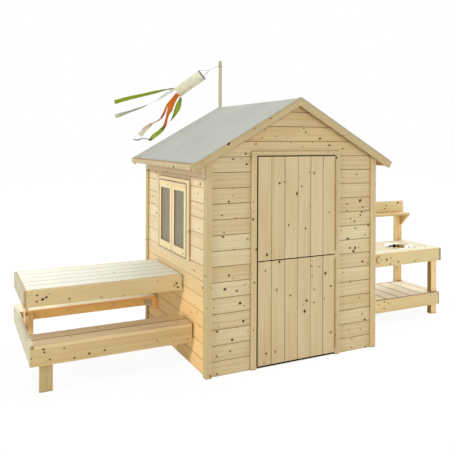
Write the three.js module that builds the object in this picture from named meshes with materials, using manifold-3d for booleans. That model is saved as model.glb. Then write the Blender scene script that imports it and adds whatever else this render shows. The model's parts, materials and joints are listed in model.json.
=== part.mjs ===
// A wooden playhouse with a picnic table on its left, a play kitchen on its right and a windsock
// behind its ridge. Millimetres, +Z up. The origin is on the ground under the middle of the house,
// the door faces -Y, and +X is on the right of someone who faces the door.

import * as THREE from 'three';
import { mergeVertices } from 'three/addons/utils/BufferGeometryUtils.js';
import Module from 'manifold-3d';

const wasm = await Module();
wasm.setup();

// Timber and clearances
const BOARD_THICK = 18;
const BOARD_WIDTH = 94;
const BATTEN_WIDTH = 28;
const BATTEN_THICK = 18;
const FIT_GAP = 0.3;
const RUNNING_GAP = 0.8;
const OVERRUN = 6;

// House: walls and corner trims
const HOUSE_WIDTH = 1223;
const HOUSE_DEPTH = 1106;
const WALL_THICK = 18;
const TRIM_THICK = 14;
const TRIM_WIDTH = 37.5;
const CLAD_PITCH = 90.4;
const CLAD_FIRST_GROOVE = 85.5;
const GROOVE_DEPTH = 3.5;
const GROOVE_WIDTH = 7;
const FRIEZE_DROP = 74;
const FRIEZE_THICK = 16;
const SILL_HEIGHT = 14;

// House: floor
const FLOOR_BOARD_THICK = 16;
const FLOOR_BEARER_HEIGHT = 27;
const FLOOR_BEARER_WIDTH = 45;
const FLOOR_BEARER_COUNT = 3;
const FLOOR_BOARD_COUNT = 12;
const FLOOR_SEAM = 2;

// Roof
const ROOF_RISE = 404;
const ROOF_EAVE = 1217;
const ROOF_SIDE_OVERHANG = 107.5;
const ROOF_FRONT_OVERHANG = 15;
const ROOF_BACK_OVERHANG = 0.5;
const FELT_DROP = 1;
const FELT_THICK = 2;
const PANEL_THICK = 16;
const BARGE_THICK = 18;
const BARGE_DEPTH = 44;
const FASCIA_THICK = 18;
const FASCIA_DEPTH = 28;
const FASCIA_DROP = 8;

// Door
const LEAF_LEFT = -275;
const LEAF_RIGHT = 283.2;
const LEAF_BOTTOM = 17;
const LEAF_SPLIT = 638;
const LEAF_SPLIT_GAP = 3;
const LEAF_ABOVE_EAVE = 42;
const LEAF_THICK = 18;
const LEAF_BOARD_COUNT = 6;
const LATCH_SIDE_GAP = 9;
const HEAD_GAP = 8;
const ARCHITRAVE_WIDTH = 33;
const ARCHITRAVE_LAP = 15;
const HEAD_WIDTH = 23;
const HEAD_LAP = 8;
const STOP_LAP = 11;
const LEDGE_WIDTH = 70;
const LEDGE_THICK = 18;
const LEDGE_INSET = 26;
const LEDGE_RISE = 60;
const BRACE_WIDTH = 60;

// Door hinges
const HINGE_RADIUS = 2.5;
const HINGE_PIN_RADIUS = 1.1;
const HINGE_PLATE_THICK = 1.1;
const HINGE_PLATE_WIDTH = 15;
const HINGE_KNUCKLES = 7;
const HINGE_END_INSET = 22;
const HINGE_STANDOFF = 0.1;

// Window
const WINDOW_FRONT = 264;
const WINDOW_LENGTH = 586;
const WINDOW_ABOVE_TABLE = 106;
const WINDOW_BELOW_FRIEZE = 31;
const WINDOW_STILE = 36;
const WINDOW_SILL = 10;
const WINDOW_HEAD = 28;
const LINING_THICK = 9.5;
const STOP_HEIGHT = 14;
const STOP_INSET = 32;
const SASH_THICK = 18;
const SASH_SIDE_GAP = 8;
const SASH_MIDDLE_GAP = 4;
const SASH_END_GAP = 2;
const SASH_STILE = 38;
const SASH_RAIL = 46;
const PIVOT_RADIUS = 3;
const PIVOT_INSET = 8;
const PIVOT_DEPTH = 5.5;
const PANE_THICK = 4;
const PANE_LAP = 5;

// Picnic table and its benches
const PICNIC_CENTRE = 82;
const TABLE_HEIGHT = 514;
const TABLE_WIDTH = 518;
const TABLE_REACH = 938.5;
const TABLE_SLAT_COUNT = 5;
const TABLE_SLAT_GAP = 3;
const TABLE_CLEAT_DEPTH = 36;
const TABLE_CLEAT_LAP = 20;
const BENCH_HEIGHT = 261;
const BENCH_BACK_GAP = 4.5;
const BENCH_INSET = 16;
const SEAT_BOARD_GAP = 4;
const SEAT_BATTEN_COUNT = 2;
const SEAT_CLEAT_DEPTH = 72;
const BENCH_LEG_WIDTH = 70;
const BENCH_LEG_SETBACK = 32;
const SUPPORT_WIDTH = 70;

// Play kitchen
const KITCHEN_CENTRE = 4;
const KITCHEN_DEPTH = 404;
const KITCHEN_HEIGHT = 516;
const WORKTOP_REACH = 960.5;
const WORKTOP_BOARD_COUNT = 4;
const WORKTOP_BOARD_GAP = 2.7;
const WORKTOP_FRAME_DEPTH = 97;
const DECK_HEIGHT = 170.5;
const DECK_INSET = 17;
const DECK_END_THICK = 10;
const DECK_BOARD_WIDTH = 112;
const DECK_BOARD_GAP = 4;
const DECK_FIRST_BOARD = 76.5;
const POST_WIDTH = 56;
const POST_THICK = 40;
const SPLASH_TOP = 852;
const POST_DROP = 6;
const POST_WALL_GAP = 3.5;
const SHELF_TOP = 758;
const SHELF_DEPTH = 94;
const BRACKET_DEPTH = 90;
const BRACKET_EDGE = 8;
const BOWL_FROM_END = 262;
const BOWL_FROM_FRONT = 190;
const BOWL_RADIUS = 104;
const BOWL_RIM = 9;
const BOWL_BEAD = 5;
const BOWL_BASE_RADIUS = 52;
const BOWL_DEPTH = 80;
const BOWL_WALL = 1.5;
const KNOB_FROM_WALL = 334.5;
const KNOB_DROP = 44.5;
const KNOB_RADIUS = 25.5;
const KNOB_THICK = 18;
const KNOB_EDGE = 4;
const KNOB_SCREW_RADIUS = 5;
const KNOB_SCREW_PROUD = 1.5;
const KNOB_PIVOT_RADIUS = 3;
const KNOB_PIVOT_DEPTH = 12;

// Windsock
const POLE_SIDE = 8;
const POLE_WIDTH = 20;
const POLE_LAP = 81;
const POLE_RISE = 364;
const PEG_RADIUS = 2.5;
const PEG_REACH = 13;
const LOWER_PEG_DROP = 47;
const UPPER_PEG_DROP = 25;
const SOCK_HEADING = THREE.MathUtils.degToRad(154.27);
const LOOP_RADIUS = 16.5;
const CORD_RADIUS = 1.2;
const HOOK_OUT = 36;
const HOOK_DROP = 1;
const HOOK_RADIUS = 3;
const KNOT_OUT = 88.8;
const KNOT_DROP = 31;
const KNOT_RADIUS = 2.6;
const MOUTH_OUT = 144.5;
const MOUTH_DROP = 67.4;
const MOUTH_CORD_COUNT = 3;
const SOCK_LENGTH = 241;
const SOCK_MOUTH_RADIUS = 44;
const SOCK_TAIL_RADIUS = 43;
const SOCK_DIP = THREE.MathUtils.degToRad(36.1);
const HOOP_RADIUS = 1.5;
const CLOTH_THICK = 0.8;
const STREAMER_WIDTH = 30;
const GREEN_LENGTH = 490;
const WHITE_LENGTH = 515;
const ORANGE_LENGTH = 470;
const SHORT_GREEN_LENGTH = 210;
const GREEN_CLOCK = -0.1;
const WHITE_CLOCK = 0.5;
const ORANGE_CLOCK = 1.25;
const SHORT_GREEN_CLOCK = 2.1;

// Steps of round shapes
const ROUND_SIDES = 12;
const WIDE_SIDES = 32;
const CORD_SIDES = 6;
const CORD_LOOP_SIDES = 24;
const RIBBON_STEPS = 20;

// Planes and places that follow from the sizes above
const ROOF_WIDTH = HOUSE_WIDTH + 2 * ROOF_SIDE_OVERHANG;
const ROOF_PEAK = ROOF_EAVE + ROOF_RISE;
const FRIEZE_BOTTOM = ROOF_EAVE - FRIEZE_DROP;
const LEAF_TOP = ROOF_EAVE + LEAF_ABOVE_EAVE;
const WINDOW_BOTTOM = TABLE_HEIGHT + WINDOW_ABOVE_TABLE;
const WINDOW_TOP = FRIEZE_BOTTOM - WINDOW_BELOW_FRIEZE;
const BENCH_REACH = TABLE_REACH - BENCH_INSET;
const DECK_REACH = WORKTOP_REACH - DECK_INSET;
const POLE_BOTTOM = ROOF_PEAK - POLE_LAP;
const POLE_TOP = ROOF_PEAK + POLE_RISE;
const HALF_WIDTH = HOUSE_WIDTH / 2;
const HALF_DEPTH = HOUSE_DEPTH / 2;
const BENCH_SPAN = 2 * (HALF_DEPTH - TRIM_WIDTH - BENCH_BACK_GAP - PICNIC_CENTRE);
const CLAD_HALF_WIDTH = HALF_WIDTH - TRIM_THICK;
const CLAD_HALF_DEPTH = HALF_DEPTH - TRIM_THICK;
const INNER_HALF_WIDTH = CLAD_HALF_WIDTH - WALL_THICK;
const INNER_HALF_DEPTH = CLAD_HALF_DEPTH - WALL_THICK;
const ROOF_FALL = (ROOF_PEAK - ROOF_EAVE) / (ROOF_WIDTH / 2);
const ROOF_STRETCH = Math.hypot(1, ROOF_FALL);
const PANEL_TOP = FELT_DROP + FELT_THICK + FIT_GAP;
const PANEL_BOTTOM = PANEL_TOP + PANEL_THICK;
const WALL_TOP = PANEL_BOTTOM + FIT_GAP;
const PANEL_HALF_WIDTH = ROOF_WIDTH / 2 - FASCIA_THICK;
const ROOF_FRONT = -HALF_DEPTH - ROOF_FRONT_OVERHANG;
const ROOF_BACK = HALF_DEPTH + ROOF_BACK_OVERHANG;

// Materials

function wood(color) {
  return new THREE.MeshStandardMaterial({ color, roughness: 0.7, metalness: 0 });
}

function metal(color, roughness) {
  return new THREE.MeshStandardMaterial({ color, roughness, metalness: 1 });
}

function cloth(color) {
  return new THREE.MeshStandardMaterial({ color, roughness: 0.85, metalness: 0, side: THREE.DoubleSide });
}

const WALL_WOOD = 0xd6c08c;
const TRIM_WOOD = 0xe0cfa3;
const TABLE_WOOD = 0xe3d3a8;
const DARK_WOOD = 0xc9ac76;
const FELT_GREY = 0xbabdb4;
const PANE_GREY = 0x9a9788;
const HINGE_STEEL = 0x9c8a68;
const BOWL_STEEL = 0xc8c8c6;
const CORD_GREY = 0xb9b4a6;
const SOCK_CLOTH = 0xe4dfd2;
const GREEN_CLOTH = 0x6fae3a;
const WHITE_CLOTH = 0xd7d8d6;
const ORANGE_CLOTH = 0xe2883a;

// Solids: every shape becomes a closed solid that can be joined and cut

function solidOf(geometry) {
  const plain = geometry.clone();
  plain.deleteAttribute('normal');
  plain.deleteAttribute('uv');
  const merged = mergeVertices(plain);
  const mesh = new wasm.Mesh({
    numProp: 3,
    vertProperties: new Float32Array(merged.attributes.position.array),
    triVerts: new Uint32Array(merged.index.array),
  });
  return new wasm.Manifold(mesh);
}

function join(solids) {
  return solids.reduce((whole, solid) => whole.add(solid));
}

function cut(solid, tools) {
  return tools.reduce((rest, tool) => rest.subtract(tool), solid);
}

function geometryOf(solid) {
  const mesh = solid.getMesh();
  const geometry = new THREE.BufferGeometry();
  geometry.setAttribute('position', new THREE.BufferAttribute(new Float32Array(mesh.vertProperties), 3));
  geometry.setIndex(new THREE.BufferAttribute(new Uint32Array(mesh.triVerts), 1));
  return geometry;
}

// A prism of an outline, from low to high along one axis. Its corners get exactly the
// outline's own numbers, so that pieces which share a plane touch and don't overlap.
function prism(outline, low, high, place) {
  const shape = new THREE.Shape(outline.map(([u, v]) => new THREE.Vector2(u, v)));
  const geometry = new THREE.ExtrudeGeometry(shape, { depth: 1, steps: 1, bevelEnabled: false });
  const position = geometry.attributes.position;
  for (let i = 0; i < position.count; i += 1) {
    const end = position.getZ(i) > 0;
    position.setXYZ(i, ...place(position.getX(i), position.getY(i), end ? high : low));
  }
  return solidOf(geometry);
}

// Outline in (x, y), from z0 up to z1
function prismZ(outline, z0, z1) {
  return prism(outline, z0, z1, (u, v, w) => [u, v, w]);
}

// Outline in (x, z), from y0 back to y1
function prismY(outline, y0, y1) {
  return prism(outline, y1, y0, (u, v, w) => [u, w, v]);
}

// Outline in (y, z), from x0 to x1
function prismX(outline, x0, x1) {
  return prism(outline, x0, x1, (u, v, w) => [w, u, v]);
}

function box(x0, x1, y0, y1, z0, z1) {
  return prismZ([[x0, y0], [x1, y0], [x1, y1], [x0, y1]], z0, z1);
}

// A box whose x or y limits are given in either order, for pieces that are mirrored
function mirroredBox(xa, xb, ya, yb, z0, z1) {
  return box(Math.min(xa, xb), Math.max(xa, xb), Math.min(ya, yb), Math.max(ya, yb), z0, z1);
}

function circle(centreU, centreV, radius, sides) {
  return Array.from({ length: sides }, (_, i) => {
    const angle = (i * 2 * Math.PI) / sides;
    return [centreU + radius * Math.cos(angle), centreV + radius * Math.sin(angle)];
  });
}

function mirrored(outline, side) {
  return outline.map(([u, v]) => [u * side, v]);
}

// A round bar between two points
function bar(from, to, radius, sides) {
  const along = new THREE.Vector3().subVectors(to, from);
  const geometry = new THREE.CylinderGeometry(radius, radius, along.length(), sides);
  const turn = new THREE.Quaternion().setFromUnitVectors(new THREE.Vector3(0, 1, 0), along.clone().normalize());
  geometry.applyQuaternion(turn);
  geometry.translate(...new THREE.Vector3().addVectors(from, to).divideScalar(2).toArray());
  return solidOf(geometry);
}

function ball(centre, radius) {
  const geometry = new THREE.IcosahedronGeometry(radius, 1);
  geometry.translate(...centre.toArray());
  return solidOf(geometry);
}

// A mesh whose own origin is at the given place, which for a moving piece is on its joint
function piece(name, solid, material, origin = new THREE.Vector3()) {
  const geometry = geometryOf(solid);
  geometry.translate(-origin.x, -origin.y, -origin.z);
  const mesh = new THREE.Mesh(geometry, material);
  mesh.name = name;
  mesh.position.copy(origin);
  return mesh;
}

// Walls

// Height of the roof at x, this deep below the line of the bargeboards' top edge
function roofHeight(x, depth) {
  return ROOF_PEAK - ROOF_FALL * Math.abs(x) - depth * ROOF_STRETCH;
}

// Section of a clad wall: its outer face has a V groove at each board's edge
function cladSection(face, inner, bottom, top, grooveLimit) {
  const inward = Math.sign(inner - face);
  const section = [[inner, bottom], [inner, top(inner)], [face, top(face)]];
  const grooves = [];
  for (let z = CLAD_FIRST_GROOVE; z + GROOVE_WIDTH < grooveLimit; z += CLAD_PITCH) {
    grooves.unshift([face, z + GROOVE_WIDTH / 2], [face + inward * GROOVE_DEPTH, z], [face, z - GROOVE_WIDTH / 2]);
  }
  return [...section, ...grooves, [face, bottom]];
}

function gableOutline(halfWidth) {
  return [
    [-halfWidth, -OVERRUN],
    [halfWidth, -OVERRUN],
    [halfWidth, roofHeight(halfWidth, WALL_TOP)],
    [0, roofHeight(0, WALL_TOP)],
    [-halfWidth, roofHeight(halfWidth, WALL_TOP)],
  ];
}

function gableWall(side) {
  const face = side * CLAD_HALF_DEPTH;
  const inner = side * INNER_HALF_DEPTH;
  const section = cladSection(face, inner, 0, () => ROOF_PEAK, ROOF_PEAK);
  const boards = prismX(section, -CLAD_HALF_WIDTH, CLAD_HALF_WIDTH);
  const gable = prismY(gableOutline(CLAD_HALF_WIDTH), -HALF_DEPTH, HALF_DEPTH);
  return boards.intersect(gable);
}

function frontWall() {
  const opening = box(
    DOOR.latchJamb - ARCHITRAVE_WIDTH + ARCHITRAVE_LAP,
    DOOR.hingeJamb + ARCHITRAVE_WIDTH - ARCHITRAVE_LAP,
    -HALF_DEPTH,
    -INNER_HALF_DEPTH + OVERRUN,
    SILL_HEIGHT,
    DOOR.head + HEAD_WIDTH - HEAD_LAP,
  );
  return cut(gableWall(-1), [opening]);
}

// A side wall with its thicker frieze board under the roof
function sideWall(side) {
  const face = CLAD_HALF_WIDTH;
  const inner = INNER_HALF_WIDTH;
  const friezeFace = face + FRIEZE_THICK;
  const top = (x) => roofHeight(x, WALL_TOP);
  const clad = cladSection(face, inner, 0, top, FRIEZE_BOTTOM);
  const depth = INNER_HALF_DEPTH - FIT_GAP;
  const frieze = [
    [face, FRIEZE_BOTTOM],
    [friezeFace, FRIEZE_BOTTOM],
    [friezeFace, top(friezeFace)],
    [face, top(face)],
  ];
  const friezeRoot = [
    [inner, FRIEZE_BOTTOM],
    [friezeFace, FRIEZE_BOTTOM],
    [friezeFace, top(friezeFace)],
    [inner, top(inner)],
  ];
  const friezeDepth = CLAD_HALF_DEPTH - FIT_GAP;
  return join([
    prismY(mirrored(clad, side), -depth, depth),
    prismY(mirrored(friezeRoot, side), -depth, depth),
    prismY(mirrored(frieze, side), -friezeDepth, friezeDepth),
  ]);
}

function leftWall() {
  const opening = box(
    -HALF_WIDTH,
    -INNER_HALF_WIDTH + OVERRUN,
    WINDOW.innerFront - LINING_THICK,
    WINDOW.innerBack + LINING_THICK,
    WINDOW.innerBottom - LINING_THICK,
    WINDOW.innerTop + LINING_THICK,
  );
  return cut(sideWall(-1), [opening]);
}

// A corner trim: a board on the gable and a board on the side wall, up to the frieze
function cornerTrim(side, end) {
  const top = (x) => roofHeight(x, WALL_TOP);
  const inner = HALF_WIDTH - TRIM_WIDTH;
  const gableBoard = [[inner, 0], [HALF_WIDTH, 0], [HALF_WIDTH, top(HALF_WIDTH)], [inner, top(inner)]];
  const near = Math.min(end * CLAD_HALF_DEPTH, end * HALF_DEPTH);
  const far = Math.max(end * CLAD_HALF_DEPTH, end * HALF_DEPTH);
  const sideBoard = mirroredBox(
    side * CLAD_HALF_WIDTH,
    side * HALF_WIDTH,
    end * (HALF_DEPTH - TRIM_THICK / 2),
    end * (HALF_DEPTH - TRIM_WIDTH),
    0,
    FRIEZE_BOTTOM,
  );
  return join([prismY(mirrored(gableBoard, side), near, far), sideBoard]);
}

// Floor boards that run from front to back, on bearers
function floor() {
  const halfWidth = INNER_HALF_WIDTH - FIT_GAP;
  const halfDepth = INNER_HALF_DEPTH - FIT_GAP;
  const top = FLOOR_BEARER_HEIGHT + FLOOR_BOARD_THICK;
  const pitch = (2 * halfWidth + FLOOR_SEAM) / FLOOR_BOARD_COUNT;
  const boards = Array.from({ length: FLOOR_BOARD_COUNT }, (_, i) => {
    const x = -halfWidth + i * pitch;
    return box(x, x + pitch - FLOOR_SEAM, -halfDepth, halfDepth, FLOOR_BEARER_HEIGHT - FIT_GAP, top);
  });
  const reach = 2 * halfDepth - FLOOR_BEARER_WIDTH;
  const bearers = Array.from({ length: FLOOR_BEARER_COUNT }, (_, i) => {
    const y = -reach / 2 + (i * reach) / (FLOOR_BEARER_COUNT - 1);
    const half = FLOOR_BEARER_WIDTH / 2;
    return box(-halfWidth, halfWidth, y - half, y + half, 0, FLOOR_BEARER_HEIGHT);
  });
  return join([...bearers, ...boards]);
}

// Roof

function roofPanel(side) {
  const inner = FIT_GAP / 2;
  const outline = [
    [inner, roofHeight(inner, PANEL_BOTTOM)],
    [PANEL_HALF_WIDTH, roofHeight(PANEL_HALF_WIDTH, PANEL_BOTTOM)],
    [PANEL_HALF_WIDTH, roofHeight(PANEL_HALF_WIDTH, PANEL_TOP)],
    [inner, roofHeight(inner, PANEL_TOP)],
  ];
  return prismY(mirrored(outline, side), ROOF_FRONT, ROOF_BACK);
}

function roofFelt() {
  const edge = PANEL_HALF_WIDTH;
  const bottom = FELT_DROP + FELT_THICK;
  const outline = [
    [-edge, roofHeight(edge, bottom)],
    [0, roofHeight(0, bottom)],
    [edge, roofHeight(edge, bottom)],
    [edge, roofHeight(edge, FELT_DROP)],
    [0, roofHeight(0, FELT_DROP)],
    [-edge, roofHeight(edge, FELT_DROP)],
  ];
  return prismY(outline, ROOF_FRONT + FIT_GAP, ROOF_BACK - FIT_GAP);
}

// A bargeboard along one slope of a gable, mitred plumb at the peak and cut square at its foot
function bargeboard(side, end) {
  const inner = FIT_GAP / 2;
  const outer = ROOF_WIDTH / 2;
  const drop = BARGE_DEPTH / ROOF_STRETCH;
  const foot = [outer - drop * ROOF_FALL, roofHeight(outer, 0) - drop];
  const outline = [
    [inner, roofHeight(inner, BARGE_DEPTH)],
    foot,
    [outer, roofHeight(outer, 0)],
    [inner, roofHeight(inner, 0)],
  ];
  const face = end < 0 ? ROOF_FRONT - BARGE_THICK : ROOF_BACK;
  return prismY(mirrored(outline, side), face, face + BARGE_THICK);
}

function eaveFascia(side) {
  const top = roofHeight(PANEL_HALF_WIDTH, 0) - FASCIA_DROP;
  return mirroredBox(
    side * PANEL_HALF_WIDTH,
    side * (PANEL_HALF_WIDTH + FASCIA_THICK),
    ROOF_FRONT,
    ROOF_BACK,
    top - FASCIA_DEPTH,
    top,
  );
}

// Door frame and leaves

const DOOR = {
  hingeJamb: LEAF_RIGHT + RUNNING_GAP,
  latchJamb: LEAF_LEFT - LATCH_SIDE_GAP,
  head: LEAF_TOP + HEAD_GAP,
  face: -HALF_DEPTH,
  stop: -HALF_DEPTH + LEAF_THICK + RUNNING_GAP,
  leafBack: -HALF_DEPTH + LEAF_THICK,
};

const HINGE_AXIS = new THREE.Vector3(
  LEAF_RIGHT + RUNNING_GAP / 2,
  -HALF_DEPTH - HINGE_RADIUS - HINGE_STANDOFF,
  0,
);

// Lengths of the two strip hinges, from their lower to their upper ends
const HINGE_SPANS = {
  lower: [LEAF_BOTTOM + HINGE_END_INSET, LEAF_SPLIT - HINGE_END_INSET],
  upper: [LEAF_SPLIT + LEAF_SPLIT_GAP + HINGE_END_INSET, LEAF_TOP - HINGE_END_INSET],
};

// One jamb: the board in front, the lining in the wall and the stop behind the leaf
function jamb(inner, side, stopLap) {
  const outer = inner + side * ARCHITRAVE_WIDTH;
  const lining = outer - side * ARCHITRAVE_LAP;
  const stop = inner - side * stopLap;
  const top = DOOR.head + HEAD_WIDTH;
  const liningTop = top - HEAD_LAP;
  return join([
    mirroredBox(inner, outer, DOOR.face, -CLAD_HALF_DEPTH, 0, top),
    mirroredBox(inner, lining, DOOR.face, -INNER_HALF_DEPTH, SILL_HEIGHT, liningTop),
    mirroredBox(stop, lining, DOOR.stop, -INNER_HALF_DEPTH, SILL_HEIGHT, liningTop),
  ]);
}

function doorFrame() {
  const hingeOuter = DOOR.hingeJamb + ARCHITRAVE_WIDTH;
  const latchOuter = DOOR.latchJamb - ARCHITRAVE_WIDTH;
  const top = DOOR.head + HEAD_WIDTH;
  const liningTop = top - HEAD_LAP;
  const left = latchOuter + ARCHITRAVE_LAP;
  const right = hingeOuter - ARCHITRAVE_LAP;
  const frame = join([
    jamb(DOOR.hingeJamb, 1, STOP_LAP + RUNNING_GAP),
    jamb(DOOR.latchJamb, -1, STOP_LAP + RUNNING_GAP),
    box(latchOuter, hingeOuter, DOOR.face, -CLAD_HALF_DEPTH, DOOR.head, top),
    box(left, right, DOOR.face, -INNER_HALF_DEPTH, DOOR.head, liningTop),
    box(left, right, DOOR.stop, -INNER_HALF_DEPTH, LEAF_TOP - STOP_LAP, liningTop),
  ]);
  const recesses = Object.values(HINGE_SPANS).map(([z0, z1]) => box(
    DOOR.hingeJamb - OVERRUN,
    DOOR.hingeJamb + HINGE_PLATE_THICK,
    DOOR.face - OVERRUN,
    DOOR.face + HINGE_PLATE_WIDTH + FIT_GAP,
    z0 - FIT_GAP,
    z1 + FIT_GAP,
  ));
  return cut(frame, recesses);
}

// Section of a leaf: upright boards with a V groove at each seam of the front face
function leafSection() {
  const pitch = (LEAF_RIGHT - LEAF_LEFT) / LEAF_BOARD_COUNT;
  const section = [[LEAF_LEFT, DOOR.leafBack], [LEAF_LEFT, DOOR.face]];
  for (let i = 1; i < LEAF_BOARD_COUNT; i += 1) {
    const x = LEAF_LEFT + i * pitch;
    section.push([x - GROOVE_WIDTH / 2, DOOR.face], [x, DOOR.face + GROOVE_DEPTH], [x + GROOVE_WIDTH / 2, DOOR.face]);
  }
  return [...section, [LEAF_RIGHT, DOOR.face], [LEAF_RIGHT, DOOR.leafBack]];
}

// A leaf with two ledges and a brace on its back, let in for its hinge
function doorLeaf(z0, z1, [hinge0, hinge1]) {
  const left = LEAF_LEFT + LEDGE_INSET;
  const right = LEAF_RIGHT - LEDGE_INSET;
  const front = DOOR.leafBack - FIT_GAP;
  const back = DOOR.leafBack + LEDGE_THICK;
  const lowLedge = z0 + LEDGE_RISE;
  const highLedge = z1 - LEDGE_RISE - LEDGE_WIDTH;
  const brace = [
    [right, lowLedge + LEDGE_WIDTH - FIT_GAP],
    [right, lowLedge + LEDGE_WIDTH + BRACE_WIDTH],
    [left + BRACE_WIDTH, highLedge + FIT_GAP],
    [left, highLedge + FIT_GAP],
    [left, highLedge - BRACE_WIDTH / 2],
    [right - BRACE_WIDTH, lowLedge + LEDGE_WIDTH - FIT_GAP],
  ];
  const leaf = join([
    prismZ(leafSection(), z0, z1),
    box(left, right, front, back, lowLedge, lowLedge + LEDGE_WIDTH),
    box(left, right, front, back, highLedge, highLedge + LEDGE_WIDTH),
    prismY(brace, front, back),
  ]);
  const recess = box(
    LEAF_RIGHT - HINGE_PLATE_THICK,
    LEAF_RIGHT + OVERRUN,
    DOOR.face - OVERRUN,
    DOOR.face + HINGE_PLATE_WIDTH + FIT_GAP,
    hinge0 - FIT_GAP,
    hinge1 + FIT_GAP,
  );
  return cut(leaf, [recess]);
}

// One half of a strip hinge: a plate on one side of the joint, with every second knuckle.
// The frame's half also holds the pin.
function hingeHalf([z0, z1], onFrame) {
  const near = onFrame ? DOOR.hingeJamb : LEAF_RIGHT;
  const far = near + (onFrame ? HINGE_PLATE_THICK : -HINGE_PLATE_THICK);
  const axis = HINGE_AXIS;
  const clear = axis.y + HINGE_RADIUS + FIT_GAP;
  const pitch = (z1 - z0) / HINGE_KNUCKLES;
  const solids = [mirroredBox(near, far, clear, DOOR.face + HINGE_PLATE_WIDTH, z0, z1)];
  for (let i = onFrame ? 0 : 1; i < HINGE_KNUCKLES; i += 2) {
    const low = z0 + i * pitch + (i > 0 ? FIT_GAP / 2 : 0);
    const high = z0 + (i + 1) * pitch - (i < HINGE_KNUCKLES - 1 ? FIT_GAP / 2 : 0);
    solids.push(prismZ(circle(axis.x, axis.y, HINGE_RADIUS, ROUND_SIDES), low, high));
    solids.push(mirroredBox(near, far, axis.y, clear + HINGE_PLATE_THICK, low, high));
  }
  if (onFrame) {
    solids.push(prismZ(circle(axis.x, axis.y, HINGE_PIN_RADIUS, ROUND_SIDES), z0, z1));
    return join(solids);
  }
  const bore = prismZ(circle(axis.x, axis.y, HINGE_PIN_RADIUS + FIT_GAP, ROUND_SIDES), z0 - OVERRUN, z1 + OVERRUN);
  return cut(join(solids), [bore]);
}

// Window frame, sashes and panes

const WINDOW = {
  innerFront: -HALF_DEPTH + WINDOW_FRONT + WINDOW_STILE,
  innerBack: -HALF_DEPTH + WINDOW_FRONT + WINDOW_LENGTH - WINDOW_STILE,
  innerBottom: WINDOW_BOTTOM + WINDOW_SILL,
  innerTop: WINDOW_TOP - WINDOW_HEAD,
  face: -HALF_WIDTH,
  pivotX: -HALF_WIDTH + SASH_THICK / 2,
};

const SASH_WIDTH = (WINDOW.innerBack - WINDOW.innerFront - 2 * SASH_SIDE_GAP - SASH_MIDDLE_GAP) / 2;

// The pivot of each sash, near the end that stays in the frame
const SASH_PIVOTS = {
  front: WINDOW.innerFront + SASH_SIDE_GAP + PIVOT_INSET,
  back: WINDOW.innerBack - SASH_SIDE_GAP - PIVOT_INSET,
};

function windowFrame() {
  const front = WINDOW.innerFront;
  const back = WINDOW.innerBack;
  const bottom = WINDOW.innerBottom;
  const top = WINDOW.innerTop;
  const inner = -INNER_HALF_WIDTH;
  const lining = LINING_THICK - FIT_GAP;
  const cladFace = -CLAD_HALF_WIDTH;
  const outerFront = front - WINDOW_STILE;
  const outerBack = back + WINDOW_STILE;
  const ring = join([
    box(WINDOW.face, cladFace, outerFront, outerBack, WINDOW_BOTTOM, WINDOW_TOP),
    box(WINDOW.face + FIT_GAP, inner, front - lining, back + lining, bottom - lining, top + lining),
  ]);
  const hole = box(WINDOW.face - OVERRUN, inner + OVERRUN, front, back, bottom, top);
  const pivotHoles = Object.values(SASH_PIVOTS).map((y) => prismZ(
    circle(WINDOW.pivotX, y, PIVOT_RADIUS + RUNNING_GAP / 2, ROUND_SIDES),
    bottom - PIVOT_DEPTH - FIT_GAP,
    top + PIVOT_DEPTH + FIT_GAP,
  ));
  const stopFace = WINDOW.face + SASH_THICK + FIT_GAP;
  const stopFront = front + STOP_INSET;
  const stopBack = back - STOP_INSET;
  const stops = [
    box(stopFace, inner, stopFront, stopBack, bottom - lining, bottom + STOP_HEIGHT),
    box(stopFace, inner, stopFront, stopBack, top - STOP_HEIGHT, top + lining),
  ];
  return join([cut(ring, [hole, ...pivotHoles]), ...stops]);
}

function sashSpan(end) {
  const front = WINDOW.innerFront + SASH_SIDE_GAP;
  const back = WINDOW.innerBack - SASH_SIDE_GAP;
  return end === 'front' ? [front, front + SASH_WIDTH] : [back - SASH_WIDTH, back];
}

function sash(end) {
  const [y0, y1] = sashSpan(end);
  const z0 = WINDOW.innerBottom + SASH_END_GAP;
  const z1 = WINDOW.innerTop - SASH_END_GAP;
  const face = WINDOW.face;
  const inner = face + SASH_THICK;
  const slot = PANE_THICK / 2 + FIT_GAP;
  const lap = PANE_LAP + FIT_GAP;
  const frame = cut(box(face, inner, y0, y1, z0, z1), [
    box(face - OVERRUN, inner + OVERRUN, y0 + SASH_STILE, y1 - SASH_STILE, z0 + SASH_RAIL, z1 - SASH_RAIL),
    box(
      WINDOW.pivotX - slot,
      WINDOW.pivotX + slot,
      y0 + SASH_STILE - lap,
      y1 - SASH_STILE + lap,
      z0 + SASH_RAIL - lap,
      z1 - SASH_RAIL + lap,
    ),
  ]);
  const low = WINDOW.innerBottom - PIVOT_DEPTH;
  const high = WINDOW.innerTop + PIVOT_DEPTH;
  const dowel = circle(WINDOW.pivotX, SASH_PIVOTS[end], PIVOT_RADIUS, ROUND_SIDES);
  return join([frame, prismZ(dowel, low, z0 + OVERRUN), prismZ(dowel, z1 - OVERRUN, high)]);
}

function pane(end) {
  const [y0, y1] = sashSpan(end);
  const z0 = WINDOW.innerBottom + SASH_END_GAP + SASH_RAIL;
  const z1 = WINDOW.innerTop - SASH_END_GAP - SASH_RAIL;
  return box(
    WINDOW.pivotX - PANE_THICK / 2,
    WINDOW.pivotX + PANE_THICK / 2,
    y0 + SASH_STILE - PANE_LAP,
    y1 - SASH_STILE + PANE_LAP,
    z0 - PANE_LAP,
    z1 + PANE_LAP,
  );
}

// Picnic table. Boards run out from the house wall towards -X.

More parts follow.
